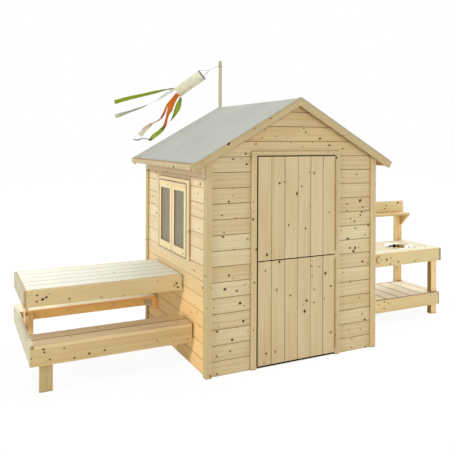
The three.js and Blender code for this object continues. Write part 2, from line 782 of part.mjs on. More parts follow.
const TABLE = {
  wall: -HALF_WIDTH,
  inner: -HALF_WIDTH - TABLE_REACH + BOARD_THICK,
  outer: -HALF_WIDTH - TABLE_REACH,
  front: PICNIC_CENTRE - TABLE_WIDTH / 2,
  back: PICNIC_CENTRE + TABLE_WIDTH / 2,
  bottom: TABLE_HEIGHT - BOARD_WIDTH,
  slatBottom: TABLE_HEIGHT - BOARD_THICK,
};

const BENCH = {
  wall: -HALF_WIDTH,
  inner: -HALF_WIDTH - BENCH_REACH + BOARD_THICK,
  outer: -HALF_WIDTH - BENCH_REACH,
  halfSpan: BENCH_SPAN / 2,
  railTop: BENCH_HEIGHT - BOARD_THICK,
  railBottom: BENCH_HEIGHT - BOARD_THICK - BOARD_WIDTH,
};

function tableApron(y0) {
  return box(TABLE.inner, TABLE.wall, y0, y0 + BOARD_THICK, TABLE.bottom, TABLE_HEIGHT);
}

function tableEnd() {
  return box(TABLE.outer, TABLE.inner, TABLE.front, TABLE.back, TABLE.bottom, TABLE_HEIGHT);
}

// The slats with the battens that hold them, and the cleat on the wall
function tableTop() {
  const front = TABLE.front + BOARD_THICK;
  const back = TABLE.back - BOARD_THICK;
  const width = (back - front - (TABLE_SLAT_COUNT - 1) * TABLE_SLAT_GAP) / TABLE_SLAT_COUNT;
  const slats = Array.from({ length: TABLE_SLAT_COUNT }, (_, i) => {
    const y = front + i * (width + TABLE_SLAT_GAP);
    const end = i < TABLE_SLAT_COUNT - 1 ? y + width : back;
    return box(TABLE.inner, TABLE.wall, y, end, TABLE.slatBottom, TABLE_HEIGHT);
  });
  const top = TABLE.slatBottom + FIT_GAP;
  const batten = (x) => box(x, x + BATTEN_WIDTH, front, back, TABLE.slatBottom - BATTEN_THICK, top);
  const outerBatten = BENCH.inner + BOARD_THICK;
  const cleat = box(
    TABLE.wall - TABLE_CLEAT_LAP,
    -CLAD_HALF_WIDTH,
    front,
    back,
    TABLE.slatBottom - TABLE_CLEAT_DEPTH,
    top,
  );
  return join([...slats, batten(outerBatten), batten((TABLE.inner + TABLE.wall) / 2), cleat]);
}

function tableSupport() {
  const half = SUPPORT_WIDTH / 2;
  return box(
    BENCH.inner,
    BENCH.inner + BOARD_THICK,
    PICNIC_CENTRE - half,
    PICNIC_CENTRE + half,
    BENCH.railBottom,
    TABLE.slatBottom,
  );
}

// Benches. side is -1 for the front bench and 1 for the back one.

function benchPlank(side, from, to, x0, x1, z0, z1) {
  const ya = PICNIC_CENTRE + side * (BENCH.halfSpan - from);
  const yb = PICNIC_CENTRE + side * (BENCH.halfSpan - to);
  return mirroredBox(x0, x1, ya, yb, z0, z1);
}

function benchRail(side) {
  return benchPlank(side, 0, BOARD_THICK, BENCH.outer, BENCH.wall, BENCH.railBottom, BENCH.railTop);
}

function benchEnd() {
  const half = BENCH.halfSpan - BOARD_THICK;
  const y0 = PICNIC_CENTRE - half;
  const y1 = PICNIC_CENTRE + half;
  return box(BENCH.outer, BENCH.inner, y0, y1, BENCH.railBottom, BENCH_HEIGHT);
}

// Two seat boards on battens, with a hanging cleat at the wall
function benchSeat(side) {
  const pitch = BOARD_WIDTH + SEAT_BOARD_GAP;
  const boards = [0, 1].map((i) => benchPlank(
    side,
    i * pitch,
    i * pitch + BOARD_WIDTH,
    BENCH.inner,
    BENCH.wall,
    BENCH.railTop,
    BENCH_HEIGHT,
  ));
  const from = BOARD_THICK + FIT_GAP;
  const to = pitch + BOARD_WIDTH;
  const top = BENCH.railTop + FIT_GAP;
  const cleatBottom = BENCH.railTop - SEAT_CLEAT_DEPTH;
  const span = BENCH.wall - BENCH.inner;
  const battens = Array.from({ length: SEAT_BATTEN_COUNT }, (_, i) => {
    const x = BENCH.inner + ((i + 1) * span) / (SEAT_BATTEN_COUNT + 1);
    return benchPlank(side, from, to, x, x + BATTEN_WIDTH, BENCH.railTop - BATTEN_THICK, top);
  });
  const cleat = benchPlank(side, from, to, BENCH.wall - BATTEN_WIDTH, BENCH.wall, cleatBottom, top);
  const spacer = benchPlank(side, from, to, BENCH.wall - FIT_GAP, -CLAD_HALF_WIDTH, cleatBottom, top);
  return join([...boards, ...battens, cleat, spacer]);
}

function benchLeg(side) {
  const x0 = BENCH.inner + BENCH_LEG_SETBACK;
  return benchPlank(side, BOARD_THICK, 2 * BOARD_THICK, x0, x0 + BENCH_LEG_WIDTH, 0, BENCH.railTop);
}

// Play kitchen. Boards run out from the house wall towards +X.

const KITCHEN = {
  wall: HALF_WIDTH,
  front: KITCHEN_CENTRE - KITCHEN_DEPTH / 2,
  back: KITCHEN_CENTRE + KITCHEN_DEPTH / 2,
  innerFront: KITCHEN_CENTRE - KITCHEN_DEPTH / 2 + BOARD_THICK,
  innerBack: KITCHEN_CENTRE + KITCHEN_DEPTH / 2 - BOARD_THICK,
  worktopEnd: HALF_WIDTH + WORKTOP_REACH - BOARD_THICK,
  worktopBottom: KITCHEN_HEIGHT - BOARD_THICK,
  frameBottom: KITCHEN_HEIGHT - WORKTOP_FRAME_DEPTH,
  deckEnd: HALF_WIDTH + DECK_REACH - DECK_END_THICK,
  deckBottom: DECK_HEIGHT - BOARD_THICK,
  deckFrameBottom: DECK_HEIGHT - BOARD_WIDTH,
};

const BOWL_CENTRE = new THREE.Vector3(
  KITCHEN.worktopEnd + BOARD_THICK - BOWL_FROM_END,
  KITCHEN.front + BOWL_FROM_FRONT,
  KITCHEN_HEIGHT,
);

const KNOB_CENTRE = new THREE.Vector3(
  HALF_WIDTH + KNOB_FROM_WALL,
  KITCHEN.front - FIT_GAP,
  KITCHEN_HEIGHT - KNOB_DROP,
);

// The apron boards round the worktop, with the cleat that fixes them to the wall
function worktopFrame() {
  const { wall, front, back, worktopEnd: end, frameBottom: bottom } = KITCHEN;
  const ring = cut(box(wall, end + BOARD_THICK, front, back, bottom, KITCHEN_HEIGHT), [
    box(
      wall - OVERRUN,
      end,
      KITCHEN.innerFront,
      KITCHEN.innerBack,
      bottom - OVERRUN,
      KITCHEN_HEIGHT + OVERRUN,
    ),
  ]);
  const cleat = box(CLAD_HALF_WIDTH, wall + FIT_GAP, front, back, bottom, KITCHEN.worktopBottom);
  const pivotHole = prismY(
    circle(KNOB_CENTRE.x, KNOB_CENTRE.z, KNOB_PIVOT_RADIUS + FIT_GAP, ROUND_SIDES),
    front - OVERRUN,
    front + KNOB_PIVOT_DEPTH + FIT_GAP,
  );
  return cut(join([ring, cleat]), [pivotHole]);
}

// The worktop boards with their battens and the hole for the bowl
function worktop() {
  const front = KITCHEN.innerFront;
  const back = KITCHEN.innerBack;
  const width = (back - front - (WORKTOP_BOARD_COUNT - 1) * WORKTOP_BOARD_GAP) / WORKTOP_BOARD_COUNT;
  const boards = Array.from({ length: WORKTOP_BOARD_COUNT }, (_, i) => {
    const y = front + i * (width + WORKTOP_BOARD_GAP);
    const end = i < WORKTOP_BOARD_COUNT - 1 ? y + width : back;
    return box(KITCHEN.wall, KITCHEN.worktopEnd, y, end, KITCHEN.worktopBottom, KITCHEN_HEIGHT);
  });
  const clear = BOWL_RADIUS + BOWL_RIM + BATTEN_WIDTH;
  const top = KITCHEN.worktopBottom + FIT_GAP;
  const bottom = KITCHEN.worktopBottom - BATTEN_THICK;
  const battens = [KITCHEN.wall + FIT_GAP, KNOB_CENTRE.x + KNOB_RADIUS, BOWL_CENTRE.x - clear].map(
    (x) => box(x, x + BATTEN_WIDTH, front, back, bottom, top),
  );
  const legTop = front + POST_THICK + FIT_GAP;
  const outerX = BOWL_CENTRE.x + clear - BATTEN_WIDTH;
  const outerBatten = box(outerX, outerX + BATTEN_WIDTH, legTop, back, bottom, top);
  const hole = prismZ(
    circle(BOWL_CENTRE.x, BOWL_CENTRE.y, BOWL_RADIUS + RUNNING_GAP, WIDE_SIDES),
    bottom,
    KITCHEN_HEIGHT + OVERRUN,
  );
  return cut(join([...boards, ...battens, outerBatten]), [hole]);
}

// A thin steel bowl that hangs on its rolled rim
function bowl() {
  const steps = ROUND_SIDES / 2;
  const arc = Array.from({ length: steps + 1 }, (_, i) => {
    const angle = (i * Math.PI) / 2 / steps;
    return [Math.sin(angle), Math.cos(angle)];
  });
  const rise = BOWL_RADIUS - BOWL_BASE_RADIUS;
  const z = FIT_GAP;
  const outer = arc.map(([s, c]) => [BOWL_BASE_RADIUS + rise * s, z - BOWL_DEPTH * c]);
  const inner = arc.map(([s, c]) => [
    BOWL_BASE_RADIUS + rise * s - BOWL_WALL,
    z + BOWL_WALL - BOWL_DEPTH * c,
  ]);
  const rim = BOWL_RADIUS + BOWL_RIM;
  const profile = [
    [0, z - BOWL_DEPTH],
    ...outer,
    [rim, z],
    [rim, z + BOWL_BEAD],
    [rim - BOWL_BEAD, z + BOWL_BEAD],
    [rim - BOWL_BEAD, z + BOWL_WALL],
    ...inner.reverse(),
    [0, z + BOWL_WALL - BOWL_DEPTH],
  ].map(([r, h]) => new THREE.Vector2(r, h));
  const geometry = new THREE.LatheGeometry(profile, WIDE_SIDES);
  geometry.rotateX(Math.PI / 2);
  geometry.translate(BOWL_CENTRE.x, BOWL_CENTRE.y, BOWL_CENTRE.z);
  return solidOf(geometry);
}

// A round wooden knob with its screw's head in front and its pivot behind
function knob() {
  const steps = ROUND_SIDES / 4;
  const edge = Array.from({ length: steps + 1 }, (_, i) => {
    const angle = (i * Math.PI) / 2 / steps;
    return [KNOB_RADIUS - KNOB_EDGE + KNOB_EDGE * Math.cos(angle), KNOB_THICK - KNOB_EDGE + KNOB_EDGE * Math.sin(angle)];
  });
  const profile = [
    [0, -KNOB_PIVOT_DEPTH],
    [KNOB_PIVOT_RADIUS, -KNOB_PIVOT_DEPTH],
    [KNOB_PIVOT_RADIUS, 0],
    [KNOB_RADIUS, 0],
    ...edge,
    [KNOB_SCREW_RADIUS, KNOB_THICK],
    [KNOB_SCREW_RADIUS, KNOB_THICK + KNOB_SCREW_PROUD / 2],
    [KNOB_SCREW_RADIUS / 2, KNOB_THICK + KNOB_SCREW_PROUD],
    [0, KNOB_THICK + KNOB_SCREW_PROUD],
  ].map(([r, h]) => new THREE.Vector2(r, h));
  const geometry = new THREE.LatheGeometry(profile, WIDE_SIDES);
  geometry.rotateX(Math.PI);
  geometry.translate(KNOB_CENTRE.x, KNOB_CENTRE.y, KNOB_CENTRE.z);
  return solidOf(geometry);
}

// The rails round the deck, with the cleat on the wall
function deckFrame() {
  const { wall, front, back, deckEnd: end, deckFrameBottom: bottom, innerFront, innerBack } = KITCHEN;
  const ring = cut(box(wall, end + DECK_END_THICK, front, back, bottom, DECK_HEIGHT), [
    box(wall - OVERRUN, end, innerFront, innerBack, bottom - OVERRUN, DECK_HEIGHT + OVERRUN),
  ]);
  const cleat = box(CLAD_HALF_WIDTH, wall + FIT_GAP, front, back, bottom, KITCHEN.deckBottom);
  return join([ring, cleat]);
}

// Deck boards that run from front to back, notched round the front leg, on two battens
function deckBoards() {
  const { wall, deckEnd: end, innerFront, innerBack } = KITCHEN;
  const boards = [];
  const pitch = DECK_BOARD_WIDTH + DECK_BOARD_GAP;
  const limit = end - FIT_GAP;
  for (let x = wall + DECK_FIRST_BOARD + DECK_BOARD_GAP - pitch; x < limit; x += pitch) {
    const x0 = Math.max(x, wall + FIT_GAP);
    const x1 = Math.min(x + DECK_BOARD_WIDTH, limit);
    boards.push(box(x0, x1, innerFront, innerBack, KITCHEN.deckBottom, DECK_HEIGHT));
  }
  const inset = POST_THICK + BATTEN_WIDTH;
  const batten = (y) => box(
    wall + FIT_GAP + BATTEN_WIDTH,
    limit - BATTEN_WIDTH,
    y,
    y + BATTEN_WIDTH,
    KITCHEN.deckBottom - BATTEN_THICK,
    KITCHEN.deckBottom + FIT_GAP,
  );
  const notch = box(
    end - POST_WIDTH - FIT_GAP,
    end + OVERRUN,
    innerFront - OVERRUN,
    innerFront + POST_THICK + FIT_GAP,
    KITCHEN.deckBottom - BATTEN_THICK - OVERRUN,
    DECK_HEIGHT + OVERRUN,
  );
  const deck = join([...boards, batten(innerFront + inset), batten(innerBack - inset - BATTEN_WIDTH)]);
  return cut(deck, [notch]);
}

function frontLeg() {
  const { deckEnd: end, innerFront } = KITCHEN;
  return box(
    end - POST_WIDTH,
    end - FIT_GAP,
    innerFront + FIT_GAP,
    innerFront + POST_THICK,
    0,
    KITCHEN.worktopBottom,
  );
}

function backPost(x0) {
  return box(x0, x0 + POST_WIDTH, KITCHEN.back, KITCHEN.back + POST_THICK, 0, SPLASH_TOP - POST_DROP);
}

// The splash board stands behind the shelf, against the posts
function splashBoard() {
  const bottom = SHELF_TOP - BOARD_THICK + FIT_GAP;
  return box(KITCHEN.wall, KITCHEN.deckEnd, KITCHEN.innerBack, KITCHEN.back, bottom, SPLASH_TOP);
}

// The shelf in front of the splash board, with a three-cornered bracket under its outer end
function shelf() {
  const bottom = SHELF_TOP - BOARD_THICK;
  const back = KITCHEN.back;
  const bracket = [
    [back, bottom + FIT_GAP],
    [back - BRACKET_DEPTH, bottom + FIT_GAP],
    [back - BRACKET_DEPTH, bottom - BRACKET_EDGE],
    [back - BRACKET_EDGE, bottom - BRACKET_DEPTH],
    [back, bottom - BRACKET_DEPTH],
  ];
  return join([
    box(KITCHEN.wall, KITCHEN.deckEnd, back - SHELF_DEPTH, KITCHEN.innerBack, bottom, SHELF_TOP),
    prismX(bracket, KITCHEN.deckEnd - BOARD_THICK, KITCHEN.deckEnd),
  ]);
}

// Windsock. Its own frame has its origin on the pole's axis at the height of its cord loop,
// +X the way it blows and +Z up.

const POLE_AXIS = new THREE.Vector2(POLE_SIDE, ROOF_BACK + BARGE_THICK + POLE_WIDTH / 2);
const LOOP_HEIGHT = POLE_TOP - LOWER_PEG_DROP + PEG_RADIUS + FIT_GAP + CORD_RADIUS;
const SOCK_AXIS = new THREE.Vector3(Math.cos(SOCK_DIP), 0, -Math.sin(SOCK_DIP));
const SOCK_UP = new THREE.Vector3(Math.sin(SOCK_DIP), 0, Math.cos(SOCK_DIP));
const SOCK_SIDE = new THREE.Vector3(0, 1, 0);
const MOUTH_CENTRE = new THREE.Vector3(MOUTH_OUT, 0, -MOUTH_DROP);

function pole() {
  const half = POLE_WIDTH / 2;
  const { x, y } = POLE_AXIS;
  const front = ROOF_BACK + BARGE_THICK;
  const peg = (drop) => prismX(
    circle(y, POLE_TOP - drop, PEG_RADIUS, ROUND_SIDES),
    x - half - PEG_REACH,
    x,
  );
  return join([
    box(x - half, x + half, front, front + POLE_WIDTH, POLE_BOTTOM, POLE_TOP),
    peg(LOWER_PEG_DROP),
    peg(UPPER_PEG_DROP),
  ]);
}

// A point on or off the rim of the sock: how far along its axis, how far out and at which clock angle
function sockPoint(along, radius, clock) {
  return MOUTH_CENTRE.clone()
    .addScaledVector(SOCK_AXIS, along)
    .addScaledVector(SOCK_UP, radius * Math.cos(clock))
    .addScaledVector(SOCK_SIDE, radius * Math.sin(clock));
}

// The loop round the pole, the hook, the knot, the cords to the mouth and the hoop in it
function bridle() {
  const loop = new THREE.TorusGeometry(LOOP_RADIUS, CORD_RADIUS, CORD_SIDES, CORD_LOOP_SIDES);
  const hoop = new THREE.TorusGeometry(SOCK_MOUTH_RADIUS, HOOP_RADIUS, CORD_SIDES, WIDE_SIDES);
  hoop.rotateY(Math.PI / 2 + SOCK_DIP);
  hoop.translate(...sockPoint(-HOOP_RADIUS - FIT_GAP, 0, 0).toArray());
  const start = new THREE.Vector3(LOOP_RADIUS, 0, 0);
  const hook = new THREE.Vector3(HOOK_OUT, 0, -HOOK_DROP);
  const knot = new THREE.Vector3(KNOT_OUT, 0, -KNOT_DROP);
  const cords = Array.from({ length: MOUTH_CORD_COUNT }, (_, i) => {
    const clock = (i * 2 * Math.PI) / MOUTH_CORD_COUNT;
    return bar(knot, sockPoint(-HOOP_RADIUS - FIT_GAP, SOCK_MOUTH_RADIUS, clock), CORD_RADIUS, CORD_SIDES);
  });
  return join([
    solidOf(loop),
    solidOf(hoop),
    bar(start, hook, CORD_RADIUS, CORD_SIDES),
    ball(hook, HOOK_RADIUS),
    bar(hook, knot, CORD_RADIUS, CORD_SIDES),
    ball(knot, KNOT_RADIUS),
    ...cords,
  ]);
}

// The open cloth tube, from its mouth along its own +Y
function sockTube() {
  const profile = [
    [SOCK_MOUTH_RADIUS, 0],
    [SOCK_TAIL_RADIUS, SOCK_LENGTH],
    [SOCK_TAIL_RADIUS - CLOTH_THICK, SOCK_LENGTH],
    [SOCK_MOUTH_RADIUS - CLOTH_THICK, 0],
    [SOCK_MOUTH_RADIUS, 0],
  ].map(([r, h]) => new THREE.Vector2(r, h));
  return solidOf(new THREE.LatheGeometry(profile, WIDE_SIDES));
}

// A flat strip of cloth along stations of [out, up, width]: the first two are shares of the
// strip's length and width is a share of its full width.
function ribbon(start, length, stations) {
  const centres = new THREE.CatmullRomCurve3(stations.map(([out, up]) => (
    new THREE.Vector3(out * length + start.x, up * length + start.z, 0)
  )), false, 'centripetal');
  const widths = new THREE.CatmullRomCurve3(stations.map(([, , width]) => (
    new THREE.Vector3(width * STREAMER_WIDTH, 0, 0)
  )));
  const upper = [];
  const lower = [];
  for (let i = 0; i <= RIBBON_STEPS; i += 1) {
    const t = i / RIBBON_STEPS;
    const centre = centres.getPoint(t);
    const along = centres.getTangent(t);
    const half = widths.getPoint(t).x / 2;
    upper.push([centre.x - along.y * half, centre.y + along.x * half]);
    lower.push([centre.x + along.y * half, centre.y - along.x * half]);
  }
  return prismY([...upper, ...lower.reverse()], start.y - CLOTH_THICK / 2, start.y + CLOTH_THICK / 2);
}

// Where a streamer leaves the tail's edge, at a clock angle in quarter turns
function tailPoint(quarter) {
  return sockPoint(SOCK_LENGTH + FIT_GAP, SOCK_TAIL_RADIUS - CLOTH_THICK / 2, (quarter * Math.PI) / 2);
}

const GREEN_SHARES = [
  [0, 0, 0.3],
  [0.18, -0.03, 0.35],
  [0.45, -0.095, 0.65],
  [0.72, -0.155, 0.95],
  [0.97, -0.227, 1],
];

const WHITE_SHARES = [
  [0, 0, 0.6],
  [0.06, -0.035, 0.75],
  [0.18, -0.11, 0.97],
  [0.28, -0.175, 0.8],
  [0.36, -0.206, 0.4],
  [0.46, -0.258, 0.7],
  [0.69, -0.342, 1],
  [0.91, -0.42, 0.9],
];

const ORANGE_SHEET_SHARES = [
  [0, 0, 1.7],
  [0.089, -0.119, 1.87],
  [0.143, -0.206, 1.6],
  [0.179, -0.26, 1.2],
];

const ORANGE_LEFT_SHARES = [
  [0.16, -0.2, 0.6],
  [0.219, -0.26, 0.65],
  [0.247, -0.328, 0.8],
  [0.277, -0.381, 0.8],
  [0.343, -0.443, 0.4],
  [0.413, -0.491, 0.73],
  [0.526, -0.568, 1],
  [0.66, -0.687, 1.33],
];

const ORANGE_RIGHT_SHARES = [
  [0.138, -0.228, 0.6],
  [0.179, -0.313, 0.67],
  [0.191, -0.381, 0.67],
  [0.206, -0.462, 0.65],
  [0.26, -0.568, 0.45],
  [0.319, -0.615, 0.9],
  [0.37, -0.66, 1.3],
  [0.474, -0.76, 0.76],
  [0.581, -0.755, 0.3],
  [0.747, -0.766, 0.25],
];

const SHORT_GREEN_SHARES = [
  [0, 0, 0.4],
  [0.01, -0.2, 1.1],
  [0.09, -0.5, 0.9],
  [0.36, -0.9, 0.3],
];

// One sheet at the tail that parts into two tails
function streamerOrange() {
  const start = tailPoint(ORANGE_CLOCK);
  const parts = [ORANGE_SHEET_SHARES, ORANGE_LEFT_SHARES, ORANGE_RIGHT_SHARES];
  return join(parts.map((shares) => ribbon(start, ORANGE_LENGTH, shares)));
}

// Assembly

function house() {
  const group = new THREE.Group();
  group.add(piece('floor', floor(), wood(DARK_WOOD)));
  group.add(piece('front_wall', frontWall(), wood(WALL_WOOD)));
  group.add(piece('back_wall', gableWall(1), wood(WALL_WOOD)));
  group.add(piece('left_wall', leftWall(), wood(WALL_WOOD)));
  group.add(piece('right_wall', sideWall(1), wood(WALL_WOOD)));
  for (const [endName, end] of [['front', -1], ['back', 1]]) {
    for (const [sideName, side] of [['left', -1], ['right', 1]]) {
      group.add(piece(`corner_trim_${endName}_${sideName}`, cornerTrim(side, end), wood(TRIM_WOOD)));
      group.add(piece(`bargeboard_${endName}_${sideName}`, bargeboard(side, end), wood(TRIM_WOOD)));
    }
  }
  for (const [sideName, side] of [['left', -1], ['right', 1]]) {
    group.add(piece(`roof_panel_${sideName}`, roofPanel(side), wood(DARK_WOOD)));
    group.add(piece(`eave_fascia_${sideName}`, eaveFascia(side), wood(TRIM_WOOD)));
  }
  const felt = new THREE.MeshStandardMaterial({ color: FELT_GREY, roughness: 0.95, metalness: 0 });
  group.add(piece('roof_felt', roofFelt(), felt));
  return group;
}

function door() {
  const group = new THREE.Group();
  group.add(piece('door_frame', doorFrame(), wood(TRIM_WOOD)));
  const leaves = [
    ['lower', LEAF_BOTTOM, LEAF_SPLIT],
    ['upper', LEAF_SPLIT + LEAF_SPLIT_GAP, LEAF_TOP],
  ];
  for (const [name, z0, z1] of leaves) {
    const span = HINGE_SPANS[name];
    const steel = metal(HINGE_STEEL, 0.4);
    group.add(piece(`${name}_door_leaf`, doorLeaf(z0, z1, span), wood(WALL_WOOD), HINGE_AXIS));
    group.add(piece(`${name}_hinge_leaf_half`, hingeHalf(span, false), steel, HINGE_AXIS));
    group.add(piece(`${name}_hinge_frame_half`, hingeHalf(span, true), metal(HINGE_STEEL, 0.4)));
  }
  return group;
}

function sideWindow() {
  const group = new THREE.Group();
  group.add(piece('window_frame', windowFrame(), wood(TRIM_WOOD)));
  for (const end of ['front', 'back']) {
    const pivot = new THREE.Vector3(WINDOW.pivotX, SASH_PIVOTS[end], 0);
    const glazing = new THREE.MeshStandardMaterial({ color: PANE_GREY, roughness: 0.35, metalness: 0 });
    group.add(piece(`${end}_sash`, sash(end), wood(TRIM_WOOD), pivot));
    group.add(piece(`${end}_pane`, pane(end), glazing, pivot));
  }
  return group;
}

function picnicTable() {
  const group = new THREE.Group();
  group.add(piece('table_front_apron', tableApron(TABLE.front), wood(TABLE_WOOD)));
  group.add(piece('table_back_apron', tableApron(TABLE.back - BOARD_THICK), wood(TABLE_WOOD)));
  group.add(piece('table_end_board', tableEnd(), wood(TABLE_WOOD)));
  group.add(piece('table_top', tableTop(), wood(TABLE_WOOD)));
  group.add(piece('table_support', tableSupport(), wood(TABLE_WOOD)));
  group.add(piece('bench_end_board', benchEnd(), wood(TABLE_WOOD)));
  for (const [name, side] of [['front', -1], ['back', 1]]) {
    group.add(piece(`bench_${name}_rail`, benchRail(side), wood(TABLE_WOOD)));
    group.add(piece(`bench_${name}_seat`, benchSeat(side), wood(TABLE_WOOD)));
    group.add(piece(`bench_${name}_leg`, benchLeg(side), wood(TABLE_WOOD)));
  }
  return group;
}

function kitchen() {
  const group = new THREE.Group();
  group.add(piece('worktop_frame', worktopFrame(), wood(TABLE_WOOD)));
  group.add(piece('worktop', worktop(), wood(TABLE_WOOD)));
  group.add(piece('bowl', bowl(), metal(BOWL_STEEL, 0.25), BOWL_CENTRE));
  group.add(piece('knob', knob(), wood(DARK_WOOD), KNOB_CENTRE));
  group.add(piece('deck_frame', deckFrame(), wood(TABLE_WOOD)));
  group.add(piece('deck_boards', deckBoards(), wood(TABLE_WOOD)));
  group.add(piece('kitchen_front_leg', frontLeg(), wood(TABLE_WOOD)));
  group.add(piece('kitchen_left_post', backPost(KITCHEN.wall + POST_WALL_GAP), wood(TABLE_WOOD)));
  group.add(piece('kitchen_right_post', backPost(KITCHEN.deckEnd - POST_WIDTH), wood(TABLE_WOOD)));
  group.add(piece('splash_board', splashBoard(), wood(TABLE_WOOD)));
  group.add(piece('shelf', shelf(), wood(TABLE_WOOD)));
  return group;
}

function windsock() {
  const group = new THREE.Group();
  group.position.set(POLE_AXIS.x, POLE_AXIS.y, LOOP_HEIGHT);
  group.rotation.z = SOCK_HEADING;
  group.add(piece('bridle', bridle(), cloth(CORD_GREY)));
  const tube = piece('sock_tube', sockTube(), cloth(SOCK_CLOTH));
  tube.position.copy(MOUTH_CENTRE);
  tube.rotation.z = -Math.PI / 2;
  tube.rotation.y = SOCK_DIP;
  group.add(tube);
  group.add(piece('streamer_green', ribbon(tailPoint(GREEN_CLOCK), GREEN_LENGTH, GREEN_SHARES), cloth(GREEN_CLOTH)));
  group.add(piece('streamer_white', ribbon(tailPoint(WHITE_CLOCK), WHITE_LENGTH, WHITE_SHARES), cloth(WHITE_CLOTH)));
  group.add(piece('streamer_orange', streamerOrange(), cloth(ORANGE_CLOTH)));
  const shortGreen = ribbon(tailPoint(SHORT_GREEN_CLOCK), SHORT_GREEN_LENGTH, SHORT_GREEN_SHARES);
  group.add(piece('streamer_short_green', shortGreen, cloth(GREEN_CLOTH)));
  return group;
}

const group = new THREE.Group();
group.add(house());
group.add(door());
group.add(sideWindow());
group.add(picnicTable());
group.add(kitchen());
group.add(piece('windsock_pole', pole(), wood(TRIM_WOOD)));
group.add(windsock());

export default group;
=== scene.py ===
"""Looks of a wooden playhouse with a picnic table, a play kitchen and a windsock.

Metres, +Z up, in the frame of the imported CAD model. The door faces -Y.
"""

from __future__ import annotations

import json
import logging
import math
from dataclasses import dataclass, replace
from enum import Enum
from typing import Sequence

import bpy
from mathutils import Matrix, Vector, noise

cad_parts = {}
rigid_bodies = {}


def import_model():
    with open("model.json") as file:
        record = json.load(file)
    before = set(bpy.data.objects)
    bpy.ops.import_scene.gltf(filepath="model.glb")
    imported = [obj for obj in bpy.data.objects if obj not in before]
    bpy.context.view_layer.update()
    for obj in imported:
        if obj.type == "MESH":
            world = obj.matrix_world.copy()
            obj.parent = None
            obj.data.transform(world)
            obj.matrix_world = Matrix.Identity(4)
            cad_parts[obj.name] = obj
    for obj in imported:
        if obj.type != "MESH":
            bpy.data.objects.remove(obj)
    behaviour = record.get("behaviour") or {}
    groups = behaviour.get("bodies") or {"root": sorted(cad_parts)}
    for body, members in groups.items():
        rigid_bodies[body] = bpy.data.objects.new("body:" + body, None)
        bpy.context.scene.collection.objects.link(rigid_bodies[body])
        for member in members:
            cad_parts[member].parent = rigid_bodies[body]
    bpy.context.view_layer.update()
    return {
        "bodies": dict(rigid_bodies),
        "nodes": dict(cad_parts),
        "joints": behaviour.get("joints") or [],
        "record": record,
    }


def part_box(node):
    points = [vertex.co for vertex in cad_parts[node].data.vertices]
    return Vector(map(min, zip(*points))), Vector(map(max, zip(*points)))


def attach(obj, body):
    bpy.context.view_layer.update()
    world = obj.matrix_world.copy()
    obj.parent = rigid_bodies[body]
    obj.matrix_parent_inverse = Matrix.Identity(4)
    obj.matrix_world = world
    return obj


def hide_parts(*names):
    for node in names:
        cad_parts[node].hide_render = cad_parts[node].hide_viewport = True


log = logging.getLogger("playhouse")

Point = tuple[float, float, float]
Spot = tuple[Point, Point]
Face = tuple[int, ...]
Stops = tuple[tuple[float, str], ...]
Node = bpy.types.Node
Socket = bpy.types.NodeSocket
Source = Node | Socket | float
Tree = bpy.types.NodeTree
Material = bpy.types.Material

ROOF_PITCH = math.atan2(0.404, 0.719)
UP: Point = (0, 0, 1)
LEFT: Point = (-1, 0, 0)
RIGHT: Point = (1, 0, 0)
FRONT: Point = (0, -1, 0)
BACK: Point = (0, 1, 0)


def linear(colour: str) -> tuple[float, float, float, float]:
    """Turns an sRGB hex colour to linear.

    Args:
        colour: The colour as "#RRGGBB".

    Returns:
        Linear red, green, blue and an alpha of 1.
    """
    parts = [int(colour[i : i + 2], 16) / 255 for i in (1, 3, 5)]
    r, g, b = (c / 12.92 if c <= 0.04045 else ((c + 0.055) / 1.055) ** 2.4 for c in parts)
    return (r, g, b, 1.0)


def add(tree: Tree, kind: str, *feeds: object, **settings: object) -> Node:
    """Adds one shader node, sets it up and links it.

    Args:
        tree: The node tree that takes the node.
        kind: Its type, and its operation or data type after a slash.
        feeds: For each open input in turn a value, a hex colour, or the socket or node that feeds it.
        settings: The node's own properties, and inputs by name, with underscores for spaces.

    Returns:
        The new node.
    """
    name, _, mode = kind.partition("/")
    node = tree.nodes.new(f"ShaderNode{name}")
    if mode:
        setattr(node, "operation" if name.endswith("Math") else "data_type", mode)
    for key in [key for key in settings if hasattr(node, key)]:
        setattr(node, key, settings.pop(key))
    pairs = list(zip([socket for socket in node.inputs if socket.enabled], feeds))
    pairs += [(node.inputs[key.replace("_", " ")], value) for key, value in settings.items()]
    for socket, value in pairs:
        if isinstance(value, Node):
            value = next(output for output in value.outputs if output.enabled)
        if isinstance(value, Socket):
            tree.links.new(value, socket)
        else:
            socket.default_value = linear(value) if isinstance(value, str) else value
    return node


def start_material(name: str) -> tuple[Material, Tree, Socket]:
    """Makes an empty material.

    Args:
        name: The material's name.

    Returns:
        The material, its node tree and the place on the object.
    """
    material = bpy.data.materials.new(name)
    material.use_nodes = True
    tree = material.node_tree
    tree.nodes.clear()
    return material, tree, add(tree, "TexCoord").outputs["Object"]


def end_material(tree: Tree, bump: dict[str, object], **sockets: object) -> None:
    """Ends a material with its bump and one Principled shader.

    Args:
        tree: The material's node tree.
        bump: The bump's strength, its depth in metres and what gives its height.
        sockets: The shader's inputs by name, with underscores for spaces.
    """
    shader = add(tree, "BsdfPrincipled", Normal=add(tree, "Bump", **bump), **sockets)
    add(tree, "OutputMaterial", Surface=shader)


def set_ramp(ramp: Node, stops: Stops) -> None:
    """Gives a colour ramp its stops.

    Args:
        ramp: The ramp's node.
        stops: The place and the hex colour of each.
    """
    while len(ramp.color_ramp.elements) < len(stops):
        ramp.color_ramp.elements.new(0.5)
    for stop, (position, colour) in zip(ramp.color_ramp.elements, stops):
        stop.position = position
        stop.color = linear(colour)


